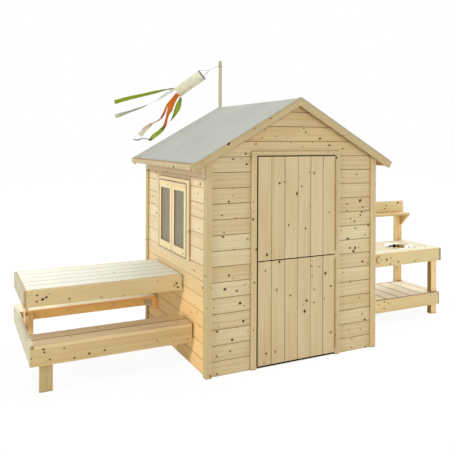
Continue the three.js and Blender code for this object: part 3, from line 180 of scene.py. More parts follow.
def mesh_piece(
    name: str, points: Sequence[Sequence[float]], faces: Sequence[Face], material: Material, smooth: bool = True
) -> bpy.types.Object:
    """Makes a mesh object at the origin.

    Args:
        name: The piece's name.
        points: Its corners in metres.
        faces: Its faces as rows of corner numbers.
        material: Its finish.
        smooth: Whether its faces are shaded smooth.

    Returns:
        The new object, linked to the scene.
    """
    mesh = bpy.data.meshes.new(name)
    mesh.from_pydata([tuple(p) for p in points], [], faces)
    mesh.validate()
    mesh.materials.append(material)
    mesh.polygons.foreach_set("use_smooth", [smooth] * len(mesh.polygons))
    piece = bpy.data.objects.new(name, mesh)
    bpy.context.scene.collection.objects.link(piece)
    return piece


def settle(piece: bpy.types.Object, body: str, node: str = "") -> None:
    """Lets a piece ride on its body and reports it.

    Args:
        piece: The piece.
        body: The CAD body that it rides on.
        node: The CAD node that it stands for, if there is one.
    """
    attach(piece, body)
    if node:
        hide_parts(node)
    log.info("%s rides on %s", piece.name, body)


def thicken(piece: bpy.types.Object, name: str, thickness: float, offset: float) -> None:
    """Gives a sheet its thickness.

    Args:
        piece: The sheet.
        name: The modifier's name.
        thickness: How thick it is.
        offset: Which side it grows to: -1 is inwards and 0 is both.
    """
    skin = piece.modifiers.new(name, "SOLIDIFY")
    skin.thickness = thickness
    skin.offset = offset


def circle(sides: int, first: float = 0.0) -> list[tuple[float, float]]:
    """Lists the cosine and the sine of each step round a circle, from the first step on."""
    return [(math.cos(math.tau * (i + first) / sides), math.sin(math.tau * (i + first) / sides)) for i in range(sides)]


def quads(lines: int, width: int, loop: bool = False, ring: bool = False) -> list[Face]:
    """Lists the faces between lines of points.

    Args:
        lines: How many lines there are.
        width: How many points each has.
        loop: Whether each line is closed.
        ring: Whether the last line joins the first one.

    Returns:
        The faces.
    """
    faces: list[Face] = []
    for i in range(lines if ring else lines - 1):
        near, far = i * width, (i + 1) % lines * width
        for k in range(width if loop else width - 1):
            m = (k + 1) % width
            faces.append((near + k, near + m, far + m, far + k))
    return faces


def lathe(profile: Sequence[tuple[float, float]], sides: int) -> tuple[list[Point], list[Face]]:
    """Turns a profile round the Z axis into a skin.

    Args:
        profile: Radius and height of each ring; a radius of 0 is a point.
        sides: How many steps go round.

    Returns:
        The corners and the faces.
    """
    points: list[Point] = []
    rings: list[list[int]] = []
    for radius, height in profile:
        spots = circle(sides)[: 1 if radius == 0 else sides]
        rings.append(list(range(len(points), len(points) + len(spots))))
        points += [(radius * c, radius * s, height) for c, s in spots]
    faces: list[Face] = []
    for low, high in zip(rings, rings[1:]):
        for i in range(sides):
            j = (i + 1) % sides
            corners = (low[i % len(low)], low[j % len(low)], high[j % len(high)], high[i % len(high)])
            kept = tuple(dict.fromkeys(corners))
            if len(kept) > 2:
                faces.append(kept)
    return points, faces


def closed_tube(path: Sequence[Vector], radius: float, sides: int = 10) -> tuple[list[Vector], list[Face]]:
    """Sweeps a circle along a closed path.

    Args:
        path: The points that the tube follows.
        radius: Its radius.
        sides: How many steps go round it.

    Returns:
        The corners and the faces.
    """
    points: list[Vector] = []
    across = Vector(UP)
    for i, centre in enumerate(path):
        along = (path[(i + 1) % len(path)] - path[i - 1]).normalized()
        across = (across - along * across.dot(along)).normalized()
        other = along.cross(across)
        points += [centre + (across * c + other * s) * radius for c, s in circle(sides)]
    return points, quads(len(path), sides, loop=True, ring=True)


def smooth_line(stations: Sequence[Sequence[float]], steps: int) -> list[list[float]]:
    """Draws a smooth line of any number of values through the stations.

    Args:
        stations: Rows of values that the line passes through.
        steps: How many steps it is cut into.

    Returns:
        One row of values for each step's end.
    """
    rows: list[list[float]] = []
    last = len(stations) - 1
    for n in range(steps + 1):
        t = n / steps * last
        i = min(int(t), last - 1)
        u = t - i
        near = (stations[max(i - 1, 0)], stations[i], stations[i + 1], stations[min(i + 2, last)])
        rows.append([
            0.5 * (2 * b + (c - a) * u + (2 * a - 5 * b + 4 * c - d) * u * u + (3 * b - a - 3 * c + d) * u**3)
            for a, b, c, d in zip(*near)
        ])
    return rows


class Way(Enum):
    """A direction that timber can lie in."""

    X = (1.0, 0.0, 0.0)
    Y = (0.0, 1.0, 0.0)
    Z = (0.0, 0.0, 1.0)
    RAKE_LEFT = (math.cos(ROOF_PITCH), 0.0, math.sin(ROOF_PITCH))
    RAKE_RIGHT = (math.cos(ROOF_PITCH), 0.0, -math.sin(ROOF_PITCH))
    OVER_LEFT = (-math.sin(ROOF_PITCH), 0.0, math.cos(ROOF_PITCH))
    OVER_RIGHT = (math.sin(ROOF_PITCH), 0.0, math.cos(ROOF_PITCH))


@dataclass(frozen=True)
class Turn:
    """Where a frame's timber turns: further than half from centre along this axis it lies the other way."""

    axis: Way
    centre: float
    half: float
    along: Way
    across: Way


@dataclass(frozen=True)
class Boards:
    """How the boards of one node lie: along and across them, their pitch and where the first one starts."""

    along: Way
    across: Way
    pitch: float = 0.0
    first: float = 0.0
    turn: Turn | None = None


LYING = Boards(Way.X, Way.Z)
STANDING = Boards(Way.Z, Way.X)
SIDEWAYS = Boards(Way.Y, Way.Z)


@dataclass(frozen=True)
class Spruce:
    """Spruce boards, planed and oiled clear: pale straw wood with faint summer rings and small brown knots.

    Marks are the larger knots of a board that faces the front: the x, z and radius of each. Amber holds the
    heights where a more amber tone starts and is full, and its share; low on the left wall it is painted warm
    shade under the table. Faces that look to the front can get a warm painted light.
    """

    name: str = "planed_oiled"
    pale: str = "#D3CBA8"
    summer: str = "#AF9260"
    halo: str = "#8A5E28"
    halo_share: float = 0.62
    knot: str = "#241003"
    end: str = "#A8966A"
    end_share: float = 0.6
    # The narrow edge faces' colour paints the light and shade that falls on them
    edge: str = "#A88A55"
    edge_share: float = 0.5
    # Paler arrises: sanded wear and a painted highlight along the edges
    arris_wear_and_highlight: str = "#FFF6DC"
    arris_wide: float = 0.005
    # The dark line where two boards meet; its colour is also the painted shade in narrow corners
    joint_and_corner_shade: str = "#6A4A1A"
    joint_share: float = 0.45
    joint_half: float = 0.0038
    # Painted shade in corners: how far it reaches, the near-black of the deepest gaps, and the warm painted shade of
    # wide corners with its reach
    corner_shade_reach: float = 0.011
    dust_and_deep_shade: str = "#1E1002"
    warm_shade: str = "#B98438"
    warm_shade_reach: float = 0.085
    amber: Point = (8.0, 9.0, 0.3)
    amber_by_height: str = "#D2A050"
    # A painted warm light on faces that look to the front
    painted_front_light: str = ""
    ring: float = 0.012
    fibre: Point = (6.0, 170.0, 170.0)
    cloud: Point = (1.6, 9.0, 9.0)
    knot_cell: float = 0.066
    knot_least: float = 0.0027
    knot_more: float = 0.0046
    knot_odds: float = 1.1
    marks: tuple[Point, ...] = ()
    roughness: float = 0.6

    def material(self, name: str, boards: Boards, middle: Vector, seed: float) -> Material:
        """Makes the wood of one node, with its rings, fibre, knots and end grain.

        Args:
            name: The node's name.
            boards: How its boards lie.
            middle: The middle of the node's box.
            seed: A number that no other node has.

        Returns:
            The material.
        """
        material, tree, point = start_material(f"spruce_{self.name}_{name}")
        along, across = self.ways(tree, boards, point)
        through = add(tree, "VectorMath/CROSS_PRODUCT", along, across)
        a, b, c = (add(tree, "VectorMath/DOT_PRODUCT", point, way) for way in (along, across, through))
        flat, wide = Vector(boards.along.value), Vector(boards.across.value)
        first, pitch = (boards.first, boards.pitch) if boards.pitch else (middle.dot(wide) - 0.5, 1.0)
        share = add(tree, "Math/DIVIDE", add(tree, "Math/SUBTRACT", b, first), pitch)
        number = add(tree, "Math/FLOOR", share)
        inside = add(tree, "Math/SUBTRACT", add(tree, "Math/SUBTRACT", share, number), 0.5)
        inside = add(tree, "Math/MULTIPLY", inside, pitch)
        # Each board comes from another place in its log: its own stretch, heart and tone
        number = add(tree, "Math/ADD", number, seed * 31.7)
        dice = add(tree, "TexWhiteNoise", W=number, noise_dimensions="1D").outputs["Color"]
        stretch, heart, tone = add(tree, "SeparateColor", dice).outputs
        run = add(tree, "Math/MULTIPLY_ADD", stretch, 9.0, a)
        side = add(tree, "Math/ADD", inside, add(tree, "Math/MULTIPLY_ADD", heart, 0.12, -0.06))
        deep = add(tree, "Math/SUBTRACT", c, middle.dot(flat.cross(wide)))
        deep = add(tree, "Math/ADD", deep, add(tree, "Math/MULTIPLY_ADD", tone, 0.05, 0.012))
        core, halo = self.large_knots(tree, point, *self.knots(tree, run, b, stretch))
        grid = add(tree, "CombineXYZ", run, side, deep)
        late = self.rings(tree, grid, side, deep, halo, tone)
        # Fibres are 0.05 mm wide in the real wood and 6 mm here, so that the render can show them
        fibre, cloud = (
            add(tree, "TexNoise", add(tree, "VectorMath/MULTIPLY", grid, squeeze), 1.0, detail)
            for squeeze, detail in ((self.fibre, 2.0), (self.cloud, 1.0))
        )
        share = add(tree, "Math/MULTIPLY_ADD", late, 0.26, -0.2)
        for source, weight in ((fibre, 0.36), (cloud, 0.50), (tone, 0.24)):
            share = add(tree, "Math/MULTIPLY_ADD", source, weight, share)
        wood = add(tree, "Mix/RGBA", add(tree, "Clamp", share), self.pale, self.summer)
        rise = add(tree, "SeparateXYZ", point).outputs[2]
        # A more amber tone by height; low on the left wall it paints the warm shade under the table
        start, full, most = self.amber
        layers: list[tuple[Source, str]] = [
            (add(tree, "Math/MULTIPLY", halo, self.halo_share), self.halo),
            (core, self.knot),
            (add(tree, "MapRange", rise, start, full, 0.0, most), self.amber_by_height),
        ]
        normal = point.node.outputs["Normal"]
        # Faces that look to the front get a painted warm light
        if self.painted_front_light:
            front = add(tree, "VectorMath/DOT_PRODUCT", normal, Way.Y.value)
            layers.append((add(tree, "MapRange", front, -0.2, -0.9, 0.0, 0.75), self.painted_front_light))
        # End grain and the narrow edge faces each get their own colour; per finish the edge colour, and in places the
        # end colour, paints the light and shade that falls on those faces
        for way, colour, part in ((along, self.end, self.end_share), (across, self.edge, self.edge_share)):
            face = add(tree, "Math/ABSOLUTE", add(tree, "VectorMath/DOT_PRODUCT", normal, way))
            sawn = add(tree, "Math/GREATER_THAN", face, 0.9)
            layers.append((add(tree, "Math/MULTIPLY", sawn, part), colour))
        # Arrises are paler, about 5 mm wide: partly sanded wear, partly a painted highlight along the edges
        rounded = add(tree, "Bevel", self.arris_wide, samples=4)
        bent = add(tree, "VectorMath/DOT_PRODUCT", rounded, normal)
        layers.append((add(tree, "MapRange", bent, 0.98, 0.8, 0.0, 0.4), self.arris_wear_and_highlight))
        if boards.pitch:
            # Two boards meet in a dark line 3 mm wide, drawn up to three times as wide where it is seen at a low angle
            off, half = add(tree, "Math/ABSOLUTE", inside), self.joint_half
            ends = (pitch / 2 - half, pitch / 2 - 0.37 * half, 0.0, self.joint_share)
            line = add(tree, "MapRange", off, *ends, interpolation_type="SMOOTHSTEP")
            line = add(tree, "Math/MULTIPLY", add(tree, "Math/SUBTRACT", 1.0, sawn), line)
            uneven = add(tree, "MapRange", cloud, 0.3, 0.7, 0.55, 1.3)
            layers.append((add(tree, "Math/MULTIPLY", line, uneven), self.joint_and_corner_shade))
        # Painted shade from the AO: wide corners get a warm painted shade, narrow ones a darker painted shade in the
        # colour of the line between boards, and the deepest gaps a near-black painted shade
        for reach, least, most, strength, colour in (
            (self.warm_shade_reach, 0.25, 0.85, 0.18, self.warm_shade),
            (self.corner_shade_reach, 0.45, 0.92, 0.46, self.joint_and_corner_shade),
            (self.corner_shade_reach * 1.6, 0.08, 0.42, 0.9, self.dust_and_deep_shade),
        ):
            corner = add(tree, "AmbientOcclusion", Distance=reach, samples=4).outputs["AO"]
            layers.append((add(tree, "MapRange", corner, least, most, strength, 0.0), colour))
        for share, colour in layers:
            wood = add(tree, "Mix/RGBA", share, wood, colour)
        height = add(tree, "Math/MULTIPLY_ADD", late, 0.4, add(tree, "Math/MULTIPLY_ADD", fibre, 0.5, 0.0))
        eased = add(tree, "Bevel", 0.0016, samples=4)
        bump = {"Strength": 0.3, "Distance": 0.0006, "Height": height, "Normal": eased}
        end_material(tree, bump, Base_Color=wood, Roughness=self.roughness, IOR=1.5, Specular_IOR_Level=0.35)
        return material

    def ways(self, tree: Tree, boards: Boards, point: Socket) -> tuple[Node, Node]:
        """Gives the directions along and across the boards at a point.

        Args:
            tree: The node tree.
            boards: How the boards lie.
            point: The socket with the point.

        Returns:
            The two directions.
        """
        far: Source = 0.0
        if boards.turn:
            reach = add(tree, "VectorMath/DOT_PRODUCT", point, boards.turn.axis.value)
            off = add(tree, "Math/ABSOLUTE", add(tree, "Math/SUBTRACT", reach, boards.turn.centre))
            far = add(tree, "Math/GREATER_THAN", off, boards.turn.half)
        other = boards.turn or boards
        along = add(tree, "Mix/VECTOR", far, boards.along.value, other.along.value)
        return along, add(tree, "Mix/VECTOR", far, boards.across.value, other.across.value)

    def rings(self, tree: Tree, grid: Node, side: Node, deep: Node, halo: Source, tone: Socket) -> Node:
        """Draws the year rings: each darkens slowly and ends sharply, and bends round the knots.

        Args:
            tree: The node tree.
            grid: The place in the log.
            side: The place to the side of its heart.
            deep: The place above its heart.
            halo: How near a knot is.
            tone: The board's random number, for how wide its rings are.

        Returns:
            The share of summer wood, from 0 to 1.
        """
        bend = add(tree, "TexNoise", add(tree, "VectorMath/MULTIPLY", grid, (1.3, 6.0, 6.0)), 1.0, 2.0)
        bent = add(tree, "Math/MULTIPLY_ADD", bend, 0.034, side)
        radius = add(tree, "VectorMath/LENGTH", add(tree, "CombineXYZ", 0.0, bent, deep))
        radius = add(tree, "Math/MULTIPLY_ADD", halo, 0.006, radius)
        wide = add(tree, "Math/MULTIPLY_ADD", tone, self.ring, 0.6 * self.ring)
        year = add(tree, "Math/FRACT", add(tree, "Math/DIVIDE", radius, wide))
        return add(tree, "Math/POWER", year, 3.0)

    def knots(self, tree: Tree, run: Node, across: Node, stretch: Socket) -> tuple[Node, Node]:
        """Scatters small knots, about eighty to a square metre of face, in loose clumps.

        Args:
            tree: The node tree.
            run: The place along the log.
            across: The place across the boards.
            stretch: The board's random number.

        Returns:
            The knot itself and the darker wood round it, each from 0 to 1.
        """
        shifted = add(tree, "Math/MULTIPLY_ADD", stretch, 5.3, across)
        spot = add(tree, "CombineXYZ", add(tree, "Math/MULTIPLY", run, 0.75), shifted, 0.0)
        wander = add(tree, "TexNoise", spot, 130.0, 1.0).outputs["Color"]
        spot = add(tree, "VectorMath/MULTIPLY_ADD", wander, (0.006, 0.006, 0.0), spot)
        cells = add(
            tree, "TexVoronoi", Vector=spot, Scale=1 / self.knot_cell, Randomness=1.0, voronoi_dimensions="2D"
        )
        away = add(tree, "Math/MULTIPLY", cells.outputs["Distance"], self.knot_cell)
        dice = add(tree, "SeparateColor", cells.outputs["Color"])
        size = add(tree, "Math/POWER", dice.outputs[0], 3.5)
        size = add(tree, "Math/MULTIPLY_ADD", size, self.knot_more, self.knot_least)
        clump = add(tree, "TexNoise", add(tree, "VectorMath/MULTIPLY", spot, (4.0, 6.0, 1.0)), 1.0, 1.0)
        odds = add(tree, "Math/MULTIPLY_ADD", clump, 1.7, add(tree, "Math/MULTIPLY", dice.outputs[1], 0.55))
        there = add(tree, "Math/GREATER_THAN", odds, self.knot_odds)
        shares: list[Node] = []
        for inner, outer in ((0.85, 1.1), (0.9, 1.8)):
            near, far = (add(tree, "Math/MULTIPLY", size, part) for part in (inner, outer))
            fade = add(tree, "MapRange", away, far, near, interpolation_type="SMOOTHSTEP")
            shares.append(add(tree, "Math/MULTIPLY", fade, there))
        return shares[0], shares[1]

    def large_knots(self, tree: Tree, point: Socket, core: Node, halo: Node) -> tuple[Node, Node]:
        """Adds the larger knots of a board that faces the front.

        Args:
            tree: The node tree.
            point: The socket with the point.
            core: The small knots.
            halo: The darker wood round them.

        Returns:
            Both shares with the larger knots in them.
        """
        if not self.marks:
            return core, halo
        ragged = add(tree, "TexNoise", point, 160.0, 1.0).outputs["Color"]
        moved = add(tree, "VectorMath/MULTIPLY_ADD", ragged, (0.006, 0.0, 0.006), point)
        front = add(tree, "VectorMath/MULTIPLY", moved, (0.85, 0.0, 1.1))
        shares = [core, halo]
        for x, z, radius in self.marks:
            away = add(tree, "VectorMath/DISTANCE", front, (0.85 * (x + 0.003), 0.0, 1.1 * (z + 0.003)))
            for i, (inner, outer) in enumerate(((0.75, 1.1), (0.9, 1.8))):
                ends = (outer * radius, inner * radius)
                fade = add(tree, "MapRange", away, *ends, interpolation_type="SMOOTHSTEP")
                shares[i] = add(tree, "Math/MAXIMUM", shares[i], fade)
        return shares[0], shares[1]


@dataclass(frozen=True)
class RoofFelt:
    """Bitumen roofing felt with pale mineral grit pressed in: a matt, finely speckled warm grey."""

    grit: str = "#C2C7C3"
    tar: str = "#93968F"
    speck: float = 0.004
    roughness: float = 0.95

    def material(self) -> Material:
        """Makes the felt's material; grit of 1 mm is drawn at 4 mm, so that the render can show it.

        Returns:
            The material.
        """
        material, tree, point = start_material("mineral_roofing_felt")
        specks = add(tree, "TexNoise", point, 1 / self.speck, 2.0)
        share = add(tree, "Math/MULTIPLY_ADD", specks, 0.9, -0.32)
        share = add(tree, "Math/MULTIPLY_ADD", add(tree, "TexNoise", point, 3.2, 3.0), 0.45, share)
        colour = add(tree, "Mix/RGBA", add(tree, "Clamp", share), self.grit, self.tar)
        bump = {"Strength": 0.4, "Distance": 0.0008, "Height": specks}
        end_material(tree, bump, Base_Color=colour, Roughness=self.roughness, Specular_IOR_Level=0.2)
        return material


@dataclass(frozen=True)
class Steel:
    """Sheet or turned steel, plated or polished: bright, with fine rings or lines from the tool."""

    name: str
    colour: str
    shade: str
    roughness: float
    line: float
    axis: Way

    def material(self) -> Material:
        """Makes the metal; tool lines of 0.1 mm are drawn as wide as the line field says, to show at all.

        Returns:
            The material.
        """
        material, tree, point = start_material(self.name)
        squeeze = [1 / self.line if part else 3.0 for part in self.axis.value]
        lines = add(tree, "TexNoise", add(tree, "VectorMath/MULTIPLY", point, squeeze), 1.0, 1.0)
        colour = add(tree, "Mix/RGBA", add(tree, "TexNoise", point, 38.0, 2.0), self.colour, self.shade)
        rough = add(tree, "MapRange", lines, 0.0, 1.0, self.roughness * 0.75, self.roughness * 1.35)
        bump = {"Strength": 0.15, "Distance": 0.0002, "Height": lines}
        end_material(tree, bump, Base_Color=colour, Metallic=1.0, Roughness=rough)
        return material


@dataclass(frozen=True)
class BowlSteel:
    """Stainless steel, spun and polished: bright, with a painted reflection of black and olive streaks on the far
    wall.
    """

    bright: str = "#F6F5EE"
    # The olive and the black are a painted reflection on the far inner wall
    olive: str = "#8A7A46"
    black: str = "#0C0A07"
    far: tuple[float, float] = (0.676, 0.737)
    band: float = 0.0175
    roughness: float = 0.2
    tool_rings: float = 3140.0

    def material(self, centre: Point, radius: float) -> Material:
        """Makes the bowl's metal; the spinning tool's 0.3 mm rings are drawn at 2 mm.

        Args:
            centre: The middle of the opening.
            radius: The opening's radius.

        Returns:
            The material.
        """
        material, tree, point = start_material("stainless_steel_spun_polished")
        local = add(tree, "VectorMath/SUBTRACT", point, centre)
        drift = add(tree, "TexNoise", local, 40.0, 2.0)
        # A painted reflection on the far inner wall: black and olive streaks by the angle round the bowl, and a black
        # bar at one depth
        x, y = (part / radius for part in self.far)
        side, back = (add(tree, "VectorMath/DOT_PRODUCT", local, way) for way in ((y, -x, 0.0), (x, y, 0.0)))
        side = add(tree, "MapRange", add(tree, "Math/MULTIPLY_ADD", drift, 0.12, side), -0.94, 1.06)
        depth = add(tree, "SeparateXYZ", local).outputs[2]
        tones: list[Node] = []
        for stops in ((0.29, 0.31, 0.39, 0.42), (0.11, 0.14, 0.52, 0.56)):
            tones.append(add(tree, "ValToRGB", side))
            places = (0.0, *stops, 0.7, 0.74)
            shades = (self.bright, self.bright, self.black, self.black, self.olive, self.olive, self.bright)
            set_ramp(tones[-1], tuple(zip(places, shades)))
        bar = add(tree, "Math/ABSOLUTE", add(tree, "Math/ADD", depth, self.band))
        colour = add(tree, "Mix/RGBA", add(tree, "MapRange", bar, 0.007, 0.0045), *tones)
        low = add(tree, "MapRange", depth, -0.0005, -0.004)
        wall = add(tree, "Math/MULTIPLY", add(tree, "MapRange", back, 0.1, 0.3), low)
        colour = add(tree, "Mix/RGBA", wall, self.bright, colour)
        rings = add(tree, "Math/SINE", add(tree, "Math/MULTIPLY", depth, self.tool_rings))
        rough = add(tree, "MapRange", rings, -1.0, 1.0, self.roughness * 0.8, self.roughness * 1.2)
        bump = {"Strength": 0.1, "Distance": 0.0002, "Height": rings}
        end_material(tree, bump, Base_Color=colour, Metallic=1.0, Roughness=rough)
        return material


@dataclass(frozen=True)
class FrostedPane:
    """Cast acrylic with one frosted face: milky grey, and what is behind it shows only as soft tone."""

    colour: str = "#9B937A"
    cloud: str = "#847B5E"
    # The rim colour is painted shade next to the frame
    rim: str = "#4E4838"
    pits: float = 330.0

    def material(self) -> Material:
        """Makes the pane's material; the frosting's 0.3 mm pits are drawn at 3 mm to show.

        Returns:
            The material.
        """
        material, tree, point = start_material("acrylic_cast_frosted")
        colour = add(tree, "Mix/RGBA", add(tree, "TexNoise", point, 7.0, 3.0), self.colour, self.cloud)
        # Next to the frame the pane darkens to the rim colour: painted shade in the corner
        corner = add(tree, "AmbientOcclusion", Distance=0.012, samples=4).outputs["AO"]
        colour = add(tree, "Mix/RGBA", add(tree, "MapRange", corner, 0.5, 0.95, 0.75, 0.0), colour, self.rim)
        bump = {"Strength": 0.2, "Distance": 0.0003, "Height": add(tree, "TexNoise", point, self.pits, 1.0)}
        end_material(tree, bump, Base_Color=colour, Roughness=0.42, IOR=1.49, Transmission_Weight=0.2)
        return material


@dataclass(frozen=True)
class GapShadeRubber:
    """Black rubber for strips that stand in for the shade in the gaps of the door and the sashes: a soft near-black
    that hardly shines, with a little dust.
    """

    name: str = "black_rubber_gap_shade"
    colour: str = "#070401"
    dust_and_deep_shade: str = "#120A03"

    def material(self) -> Material:
        """Makes the rubber the first time, and gives the same one after that.

        Returns:
            The material.
        """
        made = bpy.data.materials.get(self.name)
        if made:
            return made
        material, tree, point = start_material(self.name)
        dust_and_deep_shade = add(tree, "TexNoise", point, 60.0, 2.0)
        colour = add(tree, "Mix/RGBA", dust_and_deep_shade, self.colour, self.dust_and_deep_shade)
        bump = {"Strength": 0.2, "Distance": 0.0003, "Height": dust_and_deep_shade}
        end_material(tree, bump, Base_Color=colour, Roughness=0.95, Specular_IOR_Level=0.02)
        return material


@dataclass(frozen=True)
class Cloth:
    """Plain-woven polyester, dyed and hemmed: soft matt colour with a slight sheen and a fine weave."""

    name: str
    stops: Stops
    thread: float = 0.0012
    roughness: float = 0.8

    def material(self) -> Material:
        """Makes the cloth; threads of 0.3 mm are drawn four times as wide. Its colours run along the UV's v.

        Returns:
            The material.
        """
        material, tree, point = start_material(self.name)
        parts = add(tree, "SeparateXYZ", add(tree, "TexCoord").outputs["UV"]).outputs
        ramp = add(tree, "ValToRGB", parts[1])
        set_ramp(ramp, self.stops)
        waves = [
            add(tree, "Math/SINE", add(tree, "Math/MULTIPLY", parts[i], math.tau * size / self.thread))
            for i, size in ((0, 0.03), (1, 0.3))
        ]
        weave = add(tree, "Math/MULTIPLY", *waves)
        shade = add(tree, "MapRange", add(tree, "TexNoise", point, 30.0, 2.0), 0.3, 0.7, 0.86, 1.06)
        colour = add(tree, "VectorMath/SCALE", ramp, shade)
        bump = {"Strength": 0.25, "Distance": 0.0004, "Height": weave}
        sheen = {"Sheen_Weight": 0.2, "Sheen_Roughness": 0.5}
        end_material(tree, bump, Base_Color=colour, Roughness=self.roughness, Specular_IOR_Level=0.25, **sheen)
        return material


@dataclass(frozen=True)
class Cord:
    """Braided polyester cord: a matt pale grey with slanting strands."""

    name: str = "polyester_cord_braided"
    colour: str = "#B4B4AE"
    dark: str = "#77776F"
    strand: float = 0.0022

    def material(self) -> Material:
        """Makes the cord's material; strands of 0.5 mm are drawn at about 2 mm to show.

        Returns:
            The material.
        """
        material, tree, point = start_material(self.name)
        slant = add(tree, "VectorMath/DOT_PRODUCT", point, (1.0, 1.3, 0.8))
        wave = add(tree, "Math/SINE", add(tree, "Math/MULTIPLY", slant, math.tau / self.strand))
        share = add(tree, "MapRange", wave, -1.0, 1.0)
        colour = add(tree, "Mix/RGBA", share, self.colour, self.dark)
        bump = {"Strength": 0.4, "Distance": 0.0003, "Height": share}
        end_material(tree, bump, Base_Color=colour, Roughness=0.85, Sheen_Weight=0.15)
        return material


@dataclass
class Workshop:
    """The frame with its nodes, the finishes that several sub-assemblies share, and the fixings."""

    frame: dict[str, object]
    clear: Spruce = Spruce()
    trim: Spruce = Spruce("planed_trim", "#C9BD97", "#A78854", end="#E0D4B4", edge="#CFC28A")
    # Low down, under the table, this wall's amber tone is painted warm shade
    left: Spruce = Spruce(
        "planed_left_wall", "#F4E8C6", "#D8BC8C", joint_and_corner_shade="#8A6434", joint_share=0.3, edge="#857638", edge_share=0.75,
        amber=(0.6, 0.34, 0.6), amber_by_height="#FFD07A"
    )
    screw_steel: Steel = Steel("steel_zinc_plated_pressed", "#B9B08F", "#8E8568", 0.42, 0.001, Way.X)
    screw_rings: tuple[tuple[float, float], ...] = ((1.0, -0.0004), (1.0, 0.0003), (0.84, 0.0006), (0.56, 0.0006))
    screw_sides: int = 12
    recess: float = -0.0002
    made: int = 0

    def wood(self, node: str, boards: Boards, finish: Spruce | None = None) -> None:
        """Gives a CAD node its wood.

        Args:
            node: The node's name.
            boards: How its boards lie.
            finish: Another finish than the clear spruce.
        """
        low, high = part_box(node)
        self.made += 1
        self.assign(node, (finish or self.clear).material(node, boards, (low + high) / 2, 0.137 + 0.731 * self.made))

    def assign(self, node: str, material: Material) -> None:
        """Puts a material in every slot of a CAD node.

        Args:
            node: The node's name.
            material: Its finish.
        """
        for slot in self.frame["nodes"][node].material_slots:
            slot.material = material
        log.info("%s: %s", node, material.name)

    def screws(self, name: str, body: str, spots: Sequence[Spot], radius: float = 0.0036) -> None:
        """Makes the heads of screws, each with a cross recess, as one piece.

        Args:
            name: The piece's name.
            body: The CAD body that it rides on.
            spots: Where each head lies and which way it faces.
            radius: The heads' radius.
        """
        points: list[Vector] = []
        faces: list[Face] = []
        sides, lines = self.screw_sides, len(self.screw_rings) + 1
        arms = [0.5 if i % 3 in (0, 2) else 0.2 for i in range(sides)]
        rows = [([share] * sides, height) for share, height in self.screw_rings] + [(arms, self.recess)]
        for place, facing in spots:
            turn = Vector(facing).to_track_quat("Z", "Y").to_matrix()
            start = len(points)
            for shares, height in rows:
                for (c, s), share in zip(circle(sides, 0.5), shares):
                    points.append(Vector(place) + turn @ Vector((radius * share * c, radius * share * s, height)))
            head = quads(lines, sides, loop=True)
            head += [tuple(range((lines - 1) * sides, lines * sides)), tuple(reversed(range(sides)))]
            faces += [tuple(start + corner for corner in face) for face in head]
        settle(mesh_piece(name, points, faces, self.steel(), smooth=False), body)

    def gap_shade(self, name: str, body: str, blocks: Sequence[Spot]) -> None:
        """Makes black rubber strips from straight runs, as one piece: they stand in for the shade in a gap.

        Args:
            name: The piece's name.
            body: The CAD body that it rides on.
            blocks: The low and the high corner of each run.
        """
        points: list[Point] = []
        faces: list[Face] = []
        for low, high in blocks:
            start = len(points)
            points += [(x, y, z) for z in (low[2], high[2]) for y in (low[1], high[1]) for x in (low[0], high[0])]
            for corners in ((0, 2, 3, 1), (4, 5, 7, 6), (0, 1, 5, 4), (2, 6, 7, 3), (0, 4, 6, 2), (1, 3, 7, 5)):
                faces.append(tuple(start + corner for corner in corners))
        settle(mesh_piece(name, points, faces, GapShadeRubber().material(), smooth=False), body)

    def steel(self) -> Material:
        """Gives the screws' one material, and makes it the first time."""
        return bpy.data.materials.get(self.screw_steel.name) or self.screw_steel.material()


